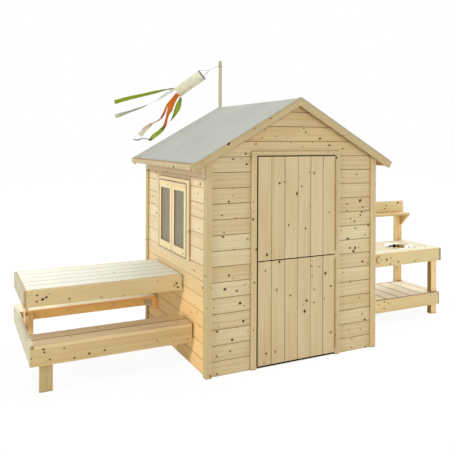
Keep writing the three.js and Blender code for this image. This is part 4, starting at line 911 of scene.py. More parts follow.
@dataclass
class House:
    """The cladded walls, the corner trims, the floor and the felted roof."""

    shop: Workshop
    clad_pitch: float = 0.0904
    clad_first: float = 0.0855 - 0.0904
    wall_half: float = 0.5975
    wall_deep: float = 0.539
    half_width: float = 0.6115
    half_depth: float = 0.553
    barge_front: float = -0.586
    barge_back: float = 0.5715
    barge_half: float = 0.719
    roof_peak: float = 1.621
    roof_half: float = 0.701
    felt_front: float = -0.5883
    felt_back: float = 0.5713
    felt_thick: float = 0.002
    felt_over: float = 0.0047
    felt_hang: float = 0.006
    felt_ripple: float = 0.0011
    felt_lap: float = 0.0011
    felt_steps: tuple[int, int] = (96, 62)
    cladding: Spruce = Spruce("planed_cladding", amber=(1.24, 1.36, 0.16), marks=(
        (0.411, 0.664, 0.006), (0.44, 0.641, 0.008), (0.415, 0.853, 0.005), (0.446, 0.835, 0.0055),
        (0.495, 0.873, 0.0055), (0.387, 0.951, 0.0045), (0.486, 0.96, 0.0045), (0.513, 0.925, 0.0045),
        (0.387, 0.906, 0.0045), (0.453, 0.788, 0.005), (0.246, 1.328, 0.007), (-0.285, 1.335, 0.005),
        (-0.353, 1.277, 0.006), (0.349, 1.306, 0.005), (0.052, 1.432, 0.0045), (-0.225, 1.426, 0.0045),
    ))
    barge: Spruce = Spruce("planed_barge", "#C0B48F", "#9E8250", end="#E0D4B4", edge="#CFC28A")
    roof: Spruce = Spruce("planed_roof", "#D8984C", "#A0622A")

    def build(self) -> None:
        """Dresses the house's nodes and makes its felt and its nails."""
        wood = self.shop.wood
        pairs = ((Way.X, ("front", "back"), self.cladding), (Way.Y, ("left", "right"), self.shop.left))
        for way, walls, finish in pairs:
            for wall in walls:
                wood(f"{wall}_wall", Boards(way, Way.Z, self.clad_pitch, self.clad_first), finish)
        wood("floor", Boards(Way.Y, Way.X, 0.0966, -0.5795))
        rakes = (("left", Way.RAKE_LEFT, Way.OVER_LEFT), ("right", Way.RAKE_RIGHT, Way.OVER_RIGHT))
        for end in ("front", "back"):
            for side, rake, over in rakes:
                wood(f"corner_trim_{end}_{side}", STANDING, self.shop.trim)
                wood(f"bargeboard_{end}_{side}", Boards(rake, over), self.barge)
        for side, rake, _ in rakes:
            wood(f"roof_panel_{side}", Boards(Way.Y, rake, 0.095, 0.02), self.roof)
            wood(f"eave_fascia_{side}", SIDEWAYS)
        self.felt()
        self.nails()

    def felt(self) -> None:
        """Makes the felt: one sheet over the ridge and the bargeboards, faintly rippled, with a lap on each slope."""
        across, rows = self.felt_steps
        points = [self.felt_point(i / across, j, rows) for i in range(across + 1) for j in range(rows + 1)]
        faces = [(a, d, c, b) for a, b, c, d in quads(across + 1, rows + 1)]
        piece = mesh_piece("roofing_felt_sheet", points, faces, RoofFelt().material())
        thicken(piece, "felt", self.felt_thick, -1)
        settle(piece, "house", "roof_felt")

    def felt_point(self, u: float, row: int, rows: int) -> Vector:
        """Gives a point of the felt's upper face.

        Args:
            u: From the left eave, 0, to the right one, 1.
            row: Its row; the first one hangs down in front of the bargeboard.
            rows: The last row's number, at the back.

        Returns:
            The point in metres.
        """
        v = max(row - 1, 0) / (rows - 1)
        x = (2 * u - 1) * self.roof_half
        y = self.felt_front + v * (self.felt_back - self.felt_front)
        edge = min(1.0, 14 * min(u, 1 - u), 9 * min(v, 1 - v))
        wave = noise.noise(Vector((x * 3.1, y * 7.5, 2.0))) + 0.6 * noise.noise(Vector((x * 9.0, y * 13.0, 7.0)))
        ripple = self.felt_ripple * edge * min(1.0, wave)
        soft = math.sqrt(x * x + 0.005**2)
        lap = self.felt_lap * (1 / (1 + math.exp((abs(x) - 0.352) / 0.0016)))
        inward = min(y - self.felt_front, self.felt_back - y)
        over = self.felt_over * (1 - min(1.0, max(0.0, (inward - 0.02) / 0.014)))
        hang = self.felt_hang if row == 0 else 0.0
        height = self.roof_peak - 0.0022 - soft * math.tan(ROOF_PITCH) + ripple + lap + over - hang
        return Vector((x, y, height))

    def nails(self) -> None:
        """Makes the nail heads of the cladding and the screws of the trims and the bargeboards."""
        sides = (-1, 1)
        heads: list[Spot] = []
        for row in range(13):
            z = self.clad_first + (row + 0.5) * self.clad_pitch
            if 0.03 <= z <= 1.14:
                heads += [((x, s * self.wall_deep, z), (0, s, 0)) for x in (-0.56, -0.333, 0.333, 0.56) for s in sides]
                heads += [((s * self.wall_half, y, z), (s, 0, 0)) for y in (-0.5, 0.5) for s in sides]
        self.shop.screws("cladding_nails", "house", heads, radius=0.0021)
        trims: list[Spot] = []
        for z in (0.09, 0.46, 0.83, 1.15):
            trims += [((x, s * self.half_depth, z), (0, s, 0)) for x in (-0.593, 0.593) for s in sides]
            trims += [((s * self.half_width, y, z), (s, 0, 0)) for y in (-0.535, 0.535) for s in sides]
        for share in (0.08, 0.5, 0.92):
            for side in sides:
                x = side * self.barge_half * share
                z = self.roof_peak - 0.025 - abs(x) * math.tan(ROOF_PITCH)
                trims += [((x, self.barge_front, z), FRONT), ((x, self.barge_back, z), BACK)]
        self.shop.screws("trim_screws", "house", trims, radius=0.003)


@dataclass
class Door:
    """The stable door in two leaves, in its frame, on two piano hinges."""

    shop: Workshop
    left: float = -0.275
    leaf_top: float = 1.259
    board: float = 0.09303
    frame_front: float = -0.553
    gap_shade_back: float = -0.542
    rebate: float = 0.0079
    planed: Spruce = Spruce("planed_door", "#CFC5A4", "#AA8C58", knot_odds=1.28)
    steel: Steel = Steel("steel_brass_plated_rolled", "#C6A560", "#93763F", 0.32, 0.0015, Way.Z)
    lower_marks: tuple[Point, ...] = (
        (0.069, 0.368, 0.007), (0.253, 0.146, 0.006), (0.251, 0.438, 0.0055), (-0.049, 0.413, 0.005),
        (-0.218, 0.086, 0.0055), (-0.225, 0.58, 0.0045), (0.105, 0.578, 0.0045), (0.16, 0.568, 0.0045),
    )
    upper_marks: tuple[Point, ...] = ((0.059, 0.815, 0.005), (-0.129, 1.099, 0.006), (-0.092, 1.105, 0.005))

    def build(self) -> None:
        """Dresses the door's nodes and makes its screws, and the black strips that stand in for the shade in its gaps.
        """
        head = Turn(Way.Z, 0.0, self.leaf_top + 0.008, Way.X, Way.Z)
        self.shop.wood("door_frame", replace(STANDING, turn=head), self.shop.trim)
        steel = self.steel.material()
        boards = replace(STANDING, pitch=self.board, first=self.left)
        for leaf, marks in (("lower", self.lower_marks), ("upper", self.upper_marks)):
            self.shop.wood(f"{leaf}_door_leaf", boards, replace(self.planed, marks=marks))
            for half in ("leaf", "frame"):
                self.shop.assign(f"{leaf}_hinge_{half}_half", steel)
            low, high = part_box(f"{leaf}_door_leaf")
            rows = (low.z + 0.095, high.z - 0.095)
            spots = [((self.left + (i + 0.5) * self.board, low.y, z), FRONT) for i in range(6) for z in rows]
            self.shop.screws(f"{leaf}_leaf_screws", f"{leaf}_door", spots, radius=0.0026)
        spots = [((x, self.frame_front, z), FRONT) for x in (-0.3, 0.301) for z in (0.08, 0.45, 0.82, 1.19)]
        self.shop.screws("door_frame_screws", "house", spots, radius=0.0026)
        low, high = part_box("lower_door_leaf")
        left, top, back = self.left, self.leaf_top, self.gap_shade_back
        # Black strips in the gaps round the door stand in for the shade there
        self.shop.gap_shade("door_frame_gap_shade", "house", [
            ((left - 0.001, -0.5526, top + 0.0006), (high.x, back, top + self.rebate)),
            ((left - 0.0089, -0.5495, 0.02), (left - 0.0015, back, top + self.rebate)),
        ])
        # Black strips between the leaves and under the lower leaf stand in for the shade in those gaps
        self.shop.gap_shade("lower_leaf_gap_shade", "lower_door", [
            ((low.x + 0.002, low.y - 0.0004, high.z - 0.003), (high.x - 0.004, -0.53, high.z + 0.0018)),
            ((low.x + 0.002, low.y + 0.006, 0.006), (high.x - 0.004, low.y + 0.012, low.z + 0.001)),
        ])


@dataclass
class SideWindow:
    """The window in the left wall: its frame and two sashes on vertical pivots, with frosted panes."""

    shop: Workshop
    centre: float = 0.857
    half_clear: float = 0.1865
    frame_bar: float = 0.028
    gap_shade_wide: float = 0.0036
    gap_shade_lap: float = 0.0012
    sill_wide: float = 0.0026
    planed: Spruce = Spruce("planed_window", "#FBEFC8", "#DCC08E", edge="#9C6A34", edge_share=0.85, corner_shade_reach=0.02)

    def build(self) -> None:
        """Dresses the window's nodes and makes its screws, and the black strips that stand in for the shade round the
        sashes.
        """
        upright = Boards(Way.Z, Way.Y)
        low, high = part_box("window_frame")
        outer = Turn(Way.Z, (low.z + high.z) / 2, (high.z - low.z) / 2 - self.frame_bar, Way.Y, Way.Z)
        self.shop.wood("window_frame", replace(upright, turn=outer), self.shop.left)
        rails = Turn(Way.Z, self.centre, self.half_clear, Way.Y, Way.Z)
        pane = FrostedPane().material()
        wide, lap = self.gap_shade_wide, self.gap_shade_lap
        for end in ("front", "back"):
            self.shop.wood(f"{end}_sash", replace(upright, turn=rails), self.planed)
            self.shop.assign(f"{end}_pane", pane)
            near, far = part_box(f"{end}_sash")
            rows = (near.z + 0.02, far.z - 0.02)
            spots = [((near.x, y, z), LEFT) for y in (near.y + 0.019, far.y - 0.019) for z in rows]
            self.shop.screws(f"{end}_sash_screws", f"{end}_window", spots, radius=0.0024)
            x, deep = near.x - 0.0003, near.x + 0.012
            edge = (near.y - lap, near.y - lap + wide) if end == "front" else (far.y + lap - wide, far.y + lap)
            # Black strips round the sash stand in for the shade in its gaps
            self.shop.gap_shade(f"{end}_sash_gap_shade", f"{end}_window", [
                ((x, near.y, far.z - wide + lap), (deep, far.y, far.z + lap)),
                ((x, near.y, near.z - lap), (deep, far.y, near.z - lap + self.sill_wide)),
                ((x, edge[0], near.z), (deep, edge[1], far.z)),
            ])


@dataclass
class PicnicTable:
    """The table and its two benches on the left of the house."""

    shop: Workshop
    top: float = 0.514
    slat: float = 0.0970
    front: float = -0.1605
    seat: float = 0.261
    seat_slat: float = 0.098
    rail: Spruce = Spruce("planed_rail", "#D5C59A", "#B39058", edge="#B98848", end="#7C8262", end_share=0.85)
    back_rail: Spruce = Spruce("planed_back_rail", "#E0D0A2", "#BE9A60", edge="#F4E8C8", edge_share=0.8, painted_front_light="#FFCA76")
    table_end: Spruce = Spruce("planed_table_end", "#CAC8B2", "#AEA686", end="#A2885A", end_share=0.8)
    bench_end: Spruce = Spruce("planed_bench_end", "#DCD9C4", "#BDB392", end="#B8B290", edge="#F2EEDC")
    slats: Spruce = Spruce(
        "planed_bleached", "#F4F7F0", "#E4E7D8", end="#B5AE88", edge="#E6DFC0", joint_and_corner_shade="#84825E", joint_share=0.75,
        joint_half=0.006, knot_odds=1.4
    )
    front_seat: Spruce = Spruce(
        "planed_seat", "#E0CDA8", "#BE9A6C", end="#D0A468", edge="#D6B57C", edge_share=0.4, joint_and_corner_shade="#6E3412",
        joint_share=0.9, joint_half=0.009
    )
    back_seat: Spruce = Spruce(
        "planed_back_seat", "#FFFAE4", "#E6CC98", edge="#F0A850", edge_share=0.85, knot_odds=1.4
    )
    support: Spruce = Spruce("planed_support", "#EFDCB4", "#D8AC78", edge="#C48C50")
    front_leg: Spruce = Spruce("planed_bench_leg", "#C5B88C", "#A4844F", edge="#D09A58", edge_share=0.7)
    back_leg: Spruce = Spruce("planed_back_leg", "#E6D6AC", "#C8A068", painted_front_light="#FFD494")
    table_marks: tuple[Point, ...] = (
        (-1.447, 0.458, 0.007), (-1.427, 0.468, 0.006), (-1.478, 0.484, 0.0045), (-1.479, 0.449, 0.0045),
        (-1.3, 0.445, 0.0045), (-0.645, 0.464, 0.006), (-0.637, 0.439, 0.006), (-0.66, 0.45, 0.0045),
    )
    bench_marks: tuple[Point, ...] = (
        (-1.466, 0.237, 0.005), (-1.461, 0.221, 0.0045), (-1.358, 0.227, 0.0045), (-1.433, 0.178, 0.0045),
        (-1.304, 0.165, 0.0045),
    )

    def build(self) -> None:
        """Dresses the table's nodes and makes its screws."""
        for node, boards, finish in (
            ("table_front_apron", LYING, replace(self.rail, marks=self.table_marks)),
            ("bench_front_rail", LYING, replace(self.rail, marks=self.bench_marks)),
            ("table_back_apron", LYING, self.back_rail),
            ("bench_back_rail", LYING, self.back_rail),
            ("table_end_board", SIDEWAYS, self.table_end),
            ("bench_end_board", SIDEWAYS, self.bench_end),
            ("table_top", Boards(Way.X, Way.Y, self.slat, self.front), self.slats),
            ("bench_front_seat", Boards(Way.X, Way.Y, self.seat_slat, -0.349), self.front_seat),
            ("bench_back_seat", Boards(Way.X, Way.Y, self.seat_slat, 0.317), self.back_seat),
            ("table_support", Boards(Way.Z, Way.Y), self.support),
            ("bench_front_leg", STANDING, self.front_leg),
            ("bench_back_leg", STANDING, self.back_leg),
        ):
            self.shop.wood(node, boards, finish)
        rows = [self.front + (i + 0.5) * self.slat for i in range(5)]
        spots: list[Spot] = [((x, y, self.top), UP) for y in rows for x in (-0.636, -1.07, -1.508)]
        rows = (-0.299, -0.203, 0.367, 0.463)
        spots += [((x, y, self.seat), UP) for y in rows for x in (-0.66, -0.915, -1.2, -1.49)]
        for z in (0.447, 0.487):
            spots += [((-1.523, -0.177, z), FRONT), ((-1.523, 0.341, z), BACK)]
            spots += [((-1.55, y, z), LEFT) for y in (-0.168, 0.332)]
        for z in (0.175, 0.217):
            for x in (-1.525, -1.449):
                spots += [((x, -0.347, z), FRONT), ((x, 0.511, z), BACK)]
        self.shop.screws("picnic_screws", "house", spots)


@dataclass
class Kitchen:
    """The play kitchen on the right of the house: worktop with bowl and knob, deck, posts and shelf."""

    shop: Workshop
    front: float = -0.198
    slat: float = 0.09268
    slat_first: float = -0.1813
    deck_pitch: float = 0.116
    deck_first: float = 0.574
    deck_top: float = 0.1705
    bowl_centre: Point = (1.310, -0.008, 0.516)
    bowl_radius: float = 0.104
    bowl_rim: float = 0.009
    bowl_bead: float = 0.0025
    bowl_base: float = 0.052
    bowl_depth: float = 0.080
    bowl_wall: float = 0.0015
    bowl_lift: float = 0.0003
    knob_centre: Point = (0.946, -0.1983, 0.4715)
    knob_radius: float = 0.0255
    knob_chamfer: float = 0.0012
    knob_round: float = 0.004
    worktop_edge: Spruce = Spruce(
        "planed_worktop_edge", "#DACFA2", "#BE9E62", edge="#F2E8C8", end="#6F7656", end_share=0.85,
        marks=((1.021, 0.47, 0.007), (1.058, 0.432, 0.0055), (1.062, 0.479, 0.0045))
    )
    deck_rail: Spruce = Spruce(
        "planed_deck_rail", "#DED0A4", "#BC985C", edge="#8A5A24", edge_share=0.9, end="#7C8262", end_share=0.85,
        marks=((1.001, 0.156, 0.005), (0.998, 0.108, 0.005))
    )
    worktop: Spruce = Spruce(
        "planed_worktop", "#F1F2DE", "#D9D5B4", end="#B5AE88", edge="#E6DFC0", joint_and_corner_shade="#A9A078", joint_share=0.5,
        knot_odds=1.4
    )
    deck: Spruce = Spruce(
        "planed_deck", "#FFFFF6", "#FAE6BE", end="#B47A38", end_share=0.85, joint_and_corner_shade="#7E4E20", joint_share=0.9,
        joint_half=0.009, knot_odds=1.4
    )
    leg: Spruce = Spruce("planed_leg", "#F6E2B4", "#D8B078", end="#6E6038", edge="#8C6C2C", edge_share=0.85)
    post: Spruce = Spruce("planed_post", "#E8CE98", "#C99F60", edge="#F4E8C4", edge_share=0.75)
    splash: Spruce = Spruce(
        "planed_splash", "#DACFA2", "#B89A60", edge="#8E9060", knot_odds=1.4,
        marks=((1.357, 0.818, 0.0055), (1.343, 0.793, 0.0055))
    )
    shelf: Spruce = Spruce("planed_shelf", "#FFDDB0", "#E6B47C", edge="#B8A86C", edge_share=0.8)

    def build(self) -> None:
        """Dresses the kitchen's nodes and makes its bowl, knob and screws."""
        for node, boards, finish in (
            ("worktop_frame", replace(LYING, turn=Turn(Way.X, 0.0, 1.554, Way.Y, Way.Z)), self.worktop_edge),
            ("deck_frame", replace(LYING, turn=Turn(Way.X, 0.0, 1.545, Way.Y, Way.Z)), self.deck_rail),
            ("worktop", Boards(Way.X, Way.Y, self.slat, self.slat_first), self.worktop),
            ("deck_boards", Boards(Way.Y, Way.X, self.deck_pitch, self.deck_first), self.deck),
            ("kitchen_front_leg", STANDING, self.leg),
            ("kitchen_left_post", STANDING, self.post),
            ("kitchen_right_post", STANDING, self.post),
            ("splash_board", LYING, self.splash),
            ("shelf", Boards(Way.X, Way.Y), self.shelf),
        ):
            self.shop.wood(node, boards, finish)
        self.bowl()
        self.knob()
        rows = [self.slat_first + (i + 0.5) * self.slat for i in range(4)]
        spots: list[Spot] = [((x, y, self.bowl_centre[2]), UP) for y in rows for x in (0.638, 0.99, 1.53)]
        spots += [((0.634 + self.deck_pitch * i, y, self.deck_top), UP) for i in range(8) for y in (-0.094, 0.1)]
        for heights, x, end in (((0.44, 0.49), 1.563, 1.572), ((0.1, 0.148), 1.517, 1.555)):
            for z in heights:
                spots += [((x, self.front, z), FRONT), ((end, -0.189, z), RIGHT), ((end, 0.197, z), RIGHT)]
        spots += [((x, 0.188, z), FRONT) for x in (0.643, 1.517) for z in (0.782, 0.828)]
        self.shop.screws("kitchen_screws", "house", spots)

    def bowl(self) -> None:
        """Makes the spun bowl with its rolled rim, a hair above the worktop that it hangs in."""
        lift, base, bead, wall = self.bowl_lift, self.bowl_base, self.bowl_bead, self.bowl_wall
        rise, edge, floor = self.bowl_radius - base, self.bowl_radius + self.bowl_rim, lift - self.bowl_depth
        turns = [i * math.pi / 24 for i in range(13)]
        outer = [(base + rise * math.sin(t), lift - self.bowl_depth * math.cos(t)) for t in turns]
        turns = [t * math.pi / 8 for t in range(14)]
        rim = [(edge - bead + bead * math.sin(t), lift + bead - bead * math.cos(t)) for t in turns]
        inner = [(r - wall * 0.96, z + wall) for r, z in reversed(outer)]
        dent = floor + 0.0006
        profile = [(0.0, dent), (0.03, dent), (0.045, floor)] + outer + rim + inner
        profile += [(0.044, floor + wall), (0.03, floor + wall + 0.0006), (0.0, floor + wall + 0.0006)]
        points, faces = lathe(profile, 96)
        moved = [Vector(p) + Vector(self.bowl_centre) for p in points]
        steel = BowlSteel().material(self.bowl_centre, self.bowl_radius)
        settle(mesh_piece("bowl_spun", moved, faces, steel), "bowl", "bowl")

    def knob(self) -> None:
        """Makes the turned knob with its rounded edge and its screw."""
        centre_x, back, centre_z = self.knob_centre
        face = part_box("knob")[0].y + 0.0015
        depth, radius = back - face, self.knob_radius
        chamfer, soft, steps = self.knob_chamfer, self.knob_round, 6
        profile = [(0.0, depth), (radius - chamfer, depth), (radius, depth - chamfer), (radius, 0.005)]
        turns = [i * math.pi / 2 / steps for i in range(1, steps + 1)]
        profile += [(radius - soft * (1 - math.cos(t)), soft - soft * math.sin(t)) for t in turns]
        profile += [(0.014, 0.0), (0.0135, 0.0006), (0.0125, 0.0), (0.0, 0.0)]
        points, faces = lathe(profile, 64)
        moved = [(centre_x + x, face + z, centre_z + y) for x, y, z in points]
        wood = self.shop.clear.material("knob_turned", STANDING, Vector(self.knob_centre), 5.71)
        piece = mesh_piece("knob_turned", moved, [tuple(reversed(f)) for f in faces], wood)
        piece.modifiers.new("edges", "EDGE_SPLIT").split_angle = math.radians(40)
        settle(piece, "knob", "knob")
        self.shop.screws("knob_screw", "knob", [((centre_x, face - 0.0006, centre_z), FRONT)], radius=0.005)


@dataclass(frozen=True)
class Streamer:
    """One streamer: its stations are [out, up, aside, width, turn] in shares of its length and width."""

    name: str
    node: str
    slot: str
    length: float
    clock: float
    stations: tuple[tuple[float, float, float, float, float], ...]
    stops: Stops


LIME: Stops = ((0.0, "#5A720A"), (0.12, "#7A9210"), (0.5, "#88A014"), (1.0, "#80980E"))
STREAMERS = (
    Streamer("streamer_green_long", "streamer_green", "green_cloth", 0.49, -0.1, (
        (0, 0, 0, 1, 0.14), (0.18, -0.03, 0, 1, 0.26), (0.45, -0.095, 0, 1, 0.54),
        (0.72, -0.155, 0, 1, 0.72), (0.97, -0.227, 0, 1.05, 1),
    ), LIME),
    Streamer("streamer_white_long", "streamer_white", "white_cloth", 0.515, 0.5, (
        (0, 0, 0, 0.9, -0.5), (0.06, -0.035, 0.01, 0.9, -0.5), (0.18, -0.11, 0.01, 1, -0.46),
        (0.28, -0.175, 0, 1, -0.2), (0.36, -0.206, 0, 1, -0.06), (0.46, -0.258, 0, 1, 0.11),
        (0.57, -0.3, 0, 1, 0.22), (0.69, -0.342, 0, 1, 0.36), (0.8, -0.38, 0, 1, 0.68), (0.91, -0.42, 0, 1, 1),
    ), ((0.0, "#CFCFC6"), (0.35, "#C2C3B8"), (0.45, "#9DA294"), (0.7, "#A6AC9A"), (1.0, "#B4B9A8"))),
    Streamer("streamer_orange_sheet", "streamer_orange", "orange_cloth", 0.47, 1.25, (
        (0, 0, 0, 1.25, 1), (0.045, -0.052, 0, 1.2, 1), (0.089, -0.119, 0, 1.5, 1),
        (0.143, -0.206, 0, 1.9, 1), (0.165, -0.235, 0, 1.75, 1),
    ), ((0.0, "#E07A30"), (0.15, "#BA5A02"), (1.0, "#CA6A06"))),
    Streamer("streamer_orange_left", "streamer_orange", "orange_cloth", 0.47, 1.25, (
        (0.176, -0.196, 0, 0.6, 1), (0.199, -0.222, 0, 0.55, 1), (0.22, -0.279, 0, 0.58, 1),
        (0.24, -0.331, 0, 0.6, 1), (0.272, -0.382, 0, 0.6, 0.6), (0.294, -0.413, 0, 0.8, 0.24),
        (0.356, -0.457, 0, 0.8, 0.16), (0.408, -0.482, 0, 0.9, 0.22), (0.465, -0.514, 0, 1, 0.5),
        (0.553, -0.589, 0, 1.15, 0.9), (0.64, -0.697, 0, 1.3, 1),
    ), (
        (0.0, "#CA6A06"), (0.3, "#B65802"), (0.42, "#A04A10"), (0.5, "#E0A080"), (0.62, "#A87860"),
        (0.72, "#C9B8A2"), (0.9, "#CFC6B0"), (1.0, "#D4D4C0"),
    )),
    Streamer("streamer_orange_right", "streamer_orange", "orange_cloth", 0.47, 1.25, (
        (0.124, -0.2, 0, 1.1, 1), (0.137, -0.258, 0, 1.38, 1), (0.16, -0.31, 0, 1, 1), (0.176, -0.351, 0, 0.77, 1),
        (0.191, -0.413, 0, 0.66, 1), (0.205, -0.465, 0, 0.75, 1), (0.217, -0.517, 0, 0.83, 1),
        (0.241, -0.56, 0, 0.8, 1), (0.279, -0.604, 0, 1.05, 1), (0.336, -0.656, 0, 1.13, 1),
        (0.398, -0.702, 0, 1.15, 1), (0.449, -0.754, 0, 0.85, 1), (0.475, -0.77, 0, 0.4, 1),
        (0.511, -0.759, 0, 0.22, 1), (0.568, -0.744, 0, 0.22, 1), (0.625, -0.756, 0, 0.25, 1),
        (0.687, -0.775, 0, 0.3, 1), (0.749, -0.759, 0, 0.15, 1),
    ), (
        (0.0, "#CA6A06"), (0.2, "#BE6004"), (0.3, "#C2600A"), (0.38, "#9A5E10"), (0.44, "#5E5A10"), (0.48, "#7A981C"),
        (0.62, "#8CAA2A"), (0.66, "#6A3A14"), (0.71, "#4A1A0E"), (0.74, "#2E5018"), (0.82, "#6E7A48"),
        (0.88, "#3E4034"), (1.0, "#34382F"),
    )),
    Streamer("streamer_green_short", "streamer_short_green", "green_cloth", 0.21, 2.1, (
        (0.007, -0.01, 0, 0.5, 1), (0.012, -0.115, 0.02, 0.87, 1), (0.053, -0.231, 0.02, 1.23, 1),
        (0.088, -0.346, 0.02, 1.5, 1), (0.127, -0.462, 0.02, 1.42, 1), (0.187, -0.577, 0.02, 1.1, 1),
        (0.238, -0.693, 0.01, 0.75, 1), (0.312, -0.808, 0, 0.4, 1), (0.381, -0.919, 0, 0.12, 1),
    ), ((0.0, "#4E6808"), (0.15, "#7C9814"), (0.45, "#A2BC38"), (0.8, "#7A9618"), (1.0, "#4A5A1A"))),
)


@dataclass
class Windsock:
    """The windsock on its pole behind the ridge: cords, hoop, cloth tube and streamers."""

    shop: Workshop
    origin: Point = (0.008, 0.5815, 1.942)
    heading: float = math.radians(154.27)
    dip: float = math.radians(36.1)
    loop_radius: float = 0.0165
    cord_radius: float = 0.0012
    hook: Point = (0.036, 0.0, -0.001)
    knot: Point = (0.0888, 0.0, -0.031)
    mouth: Point = (0.1445, 0.0, -0.0674)
    length: float = 0.241
    mouth_radius: float = 0.044
    tail_radius: float = 0.043
    hoop_radius: float = 0.0015
    hoop_back: float = -0.0018
    ribbon: float = 0.030
    pole: Spruce = Spruce(
        "sawn_impregnated", "#CDCBB4", "#A29F80", halo="#9C946E", knot="#7E7650", end="#9A9474", edge="#B2AE92"
    )
    tape: Cord = Cord("polyester_tape_olive", "#C4C0A4", "#A8A488")
    # The sock's colours from mouth to tail: the dark ring at the mouth is painted shade of the tube's inside; the rest
    # is the plain cloth
    plain_cloth_and_mouth_shade: Stops = (
        (0.0, "#5C6456"), (0.03, "#7A8272"), (0.045, "#E2E2CE"), (0.5, "#DCDCC2"), (0.95, "#D8D6BE"), (1.0, "#F2CDB6")
    )

    def build(self) -> None:
        """Dresses the pole and makes the cords, the tube and the streamers."""
        self.shop.wood("windsock_pole", STANDING, self.pole)
        self.tube()
        self.bridle()
        for streamer in STREAMERS:
            self.strip(streamer)

    def world(self, point: Sequence[float]) -> Vector:
        """Takes a point from the windsock's own frame to the row frame."""
        return Vector(self.origin) + Matrix.Rotation(self.heading, 3, "Z") @ Vector(point)

    def on_sock(self, along: float, radius: float, clock: float) -> Vector:
        """Gives a point round the sock's axis, in the windsock's own frame.

        Args:
            along: How far down the sock from its mouth.
            radius: How far out from its axis.
            clock: The angle round it, from its top towards the camera's side.

        Returns:
            The point.
        """
        axis = Vector((math.cos(self.dip), 0, -math.sin(self.dip)))
        up = Vector((math.sin(self.dip), 0, math.cos(self.dip)))
        side = Vector((0, 1, 0))
        return Vector(self.mouth) + axis * along + up * (radius * math.cos(clock)) + side * (radius * math.sin(clock))

    def tube(self) -> None:
        """Makes the cloth tube with its hems and the soft dents that the wind leaves between them."""
        around, rows = 72, 40
        points: list[Vector] = []
        for j in range(rows + 1):
            v = j / rows
            along = self.length * v
            hem = 0.0008 if along < 0.012 or along > self.length - 0.010 else 0.0
            slack = math.sin(math.pi * v) ** 0.7
            for i in range(around):
                clock = math.tau * i / around
                c, s = math.cos(clock), math.sin(clock)
                radius = self.mouth_radius + (self.tail_radius - self.mouth_radius) * v
                folds = noise.noise(Vector((c * 1.6, s * 1.6, v * 2.3)))
                creases = noise.noise(Vector((c * 4.2 + 5, s * 4.2, v * 6.5)))
                radius += hem - 0.0012 + slack * (0.0042 * folds + 0.0016 * creases - 0.0012)
                points.append(self.world(self.on_sock(along, radius, clock)))
        cloth = Cloth("polyester_woven_sock", self.plain_cloth_and_mouth_shade).material()
        piece = mesh_piece("windsock_tube", points, quads(rows + 1, around, loop=True), cloth)
        self.uv(piece, around, rows, around)
        thicken(piece, "cloth", 0.0006, -1)
        settle(piece, "windsock", "sock_tube")

    def uv(self, piece: bpy.types.Object, across: int, rows: int, width: int) -> None:
        """Lays a UV map on a strip, with v along it.

        Args:
            piece: The strip.
            across: How many steps it has across.
            rows: How many it has along.
            width: How many points each of its rows has.
        """
        layer = piece.data.uv_layers.new(name="strip")
        for corner, spot in zip(piece.data.loops, layer.data):
            spot.uv = ((corner.vertex_index % width) / across, (corner.vertex_index // width) / rows)

    def bridle(self) -> None:
        """Makes the loop on the pole, the leader with its hook and knot, three cords and the hoop."""
        cord, steel = Cord().material(), self.shop.steel()
        ring = [self.world((self.loop_radius * c, self.loop_radius * s, 0.0)) for c, s in circle(40)]
        loop = mesh_piece("windsock_pole_loop", *closed_tube(ring, self.cord_radius), self.tape.material())
        turns = [math.tau * i / 64 for i in range(64)]
        ring = [self.world(self.on_sock(self.hoop_back, self.mouth_radius - 0.0002, turn)) for turn in turns]
        hoop = mesh_piece("windsock_hoop", *closed_tube(ring, self.hoop_radius), steel)
        start, hook, knot = Vector((self.loop_radius, 0, 0)), Vector(self.hook), Vector(self.knot)
        axis = (knot - hook).normalized().to_track_quat("Z", "Y").to_matrix()
        for name, centre, size, finish in (
            ("windsock_swivel_hook", hook, 0.003, steel), ("windsock_knot", knot, 0.0026, cord)
        ):
            turns = [i * math.pi / 10 for i in range(1, 10)]
            profile = [(0.0, -size), *((size * math.sin(t), -size * math.cos(t)) for t in turns), (0.0, size)]
            points, faces = lathe(profile, 16)
            placed = [self.world(centre + axis @ Vector((x, y, z * 1.25))) for x, y, z in points]
            settle(mesh_piece(name, placed, faces, finish), "windsock", "bridle")
        beads = ["windsock_swivel_hook", "windsock_knot"]
        middle = hook.lerp(knot, 0.5) - Vector((0, 0, 0.0006))
        self.cord("windsock_leader", [start, hook, middle, knot], cord, far_end="knot", with_pieces=beads)
        for i in range(3):
            end = self.on_sock(self.hoop_back, self.mouth_radius, math.tau * i / 3)
            sag = knot.lerp(end, 0.5) - Vector((0, 0, 0.0008))
            self.cord(f"windsock_mouth_cord_{i + 1}", [knot, sag, end], cord, far_end="object")
        for piece in (loop, hoop):
            settle(piece, "windsock", "bridle")

    def run(self, path: Sequence[Vector]) -> float:
        """Gives the length of a path of points."""
        return sum((b - a).length for a, b in zip(path, path[1:]))

    def cord(self, name: str, path: Sequence[Vector], material: Material, **ends: object) -> None:
        """Makes a taut cord of the bridle as a curve with one open spline.

        Args:
            name: The piece's name.
            path: Its points in the windsock's own frame.
            material: Its finish.
            ends: What its far end is, and the pieces that belong to it; not used.
        """
        curve = bpy.data.curves.new(name, "CURVE")
        curve.dimensions = "3D"
        curve.bevel_depth = self.cord_radius
        curve.bevel_resolution = 3
        curve.use_fill_caps = True
        rows = smooth_line([tuple(self.world(p)) for p in path], 16)
        spline = curve.splines.new("POLY")
        spline.points.add(len(rows) - 1)
        for spot, row in zip(spline.points, rows):
            spot.co = (*row, 1.0)
        curve.materials.append(material)
        piece = bpy.data.objects.new(name, curve)
        bpy.context.scene.collection.objects.link(piece)
        settle(piece, "windsock", "bridle")
        exit_point, length = tuple(self.world(path[0])), self.run(path)

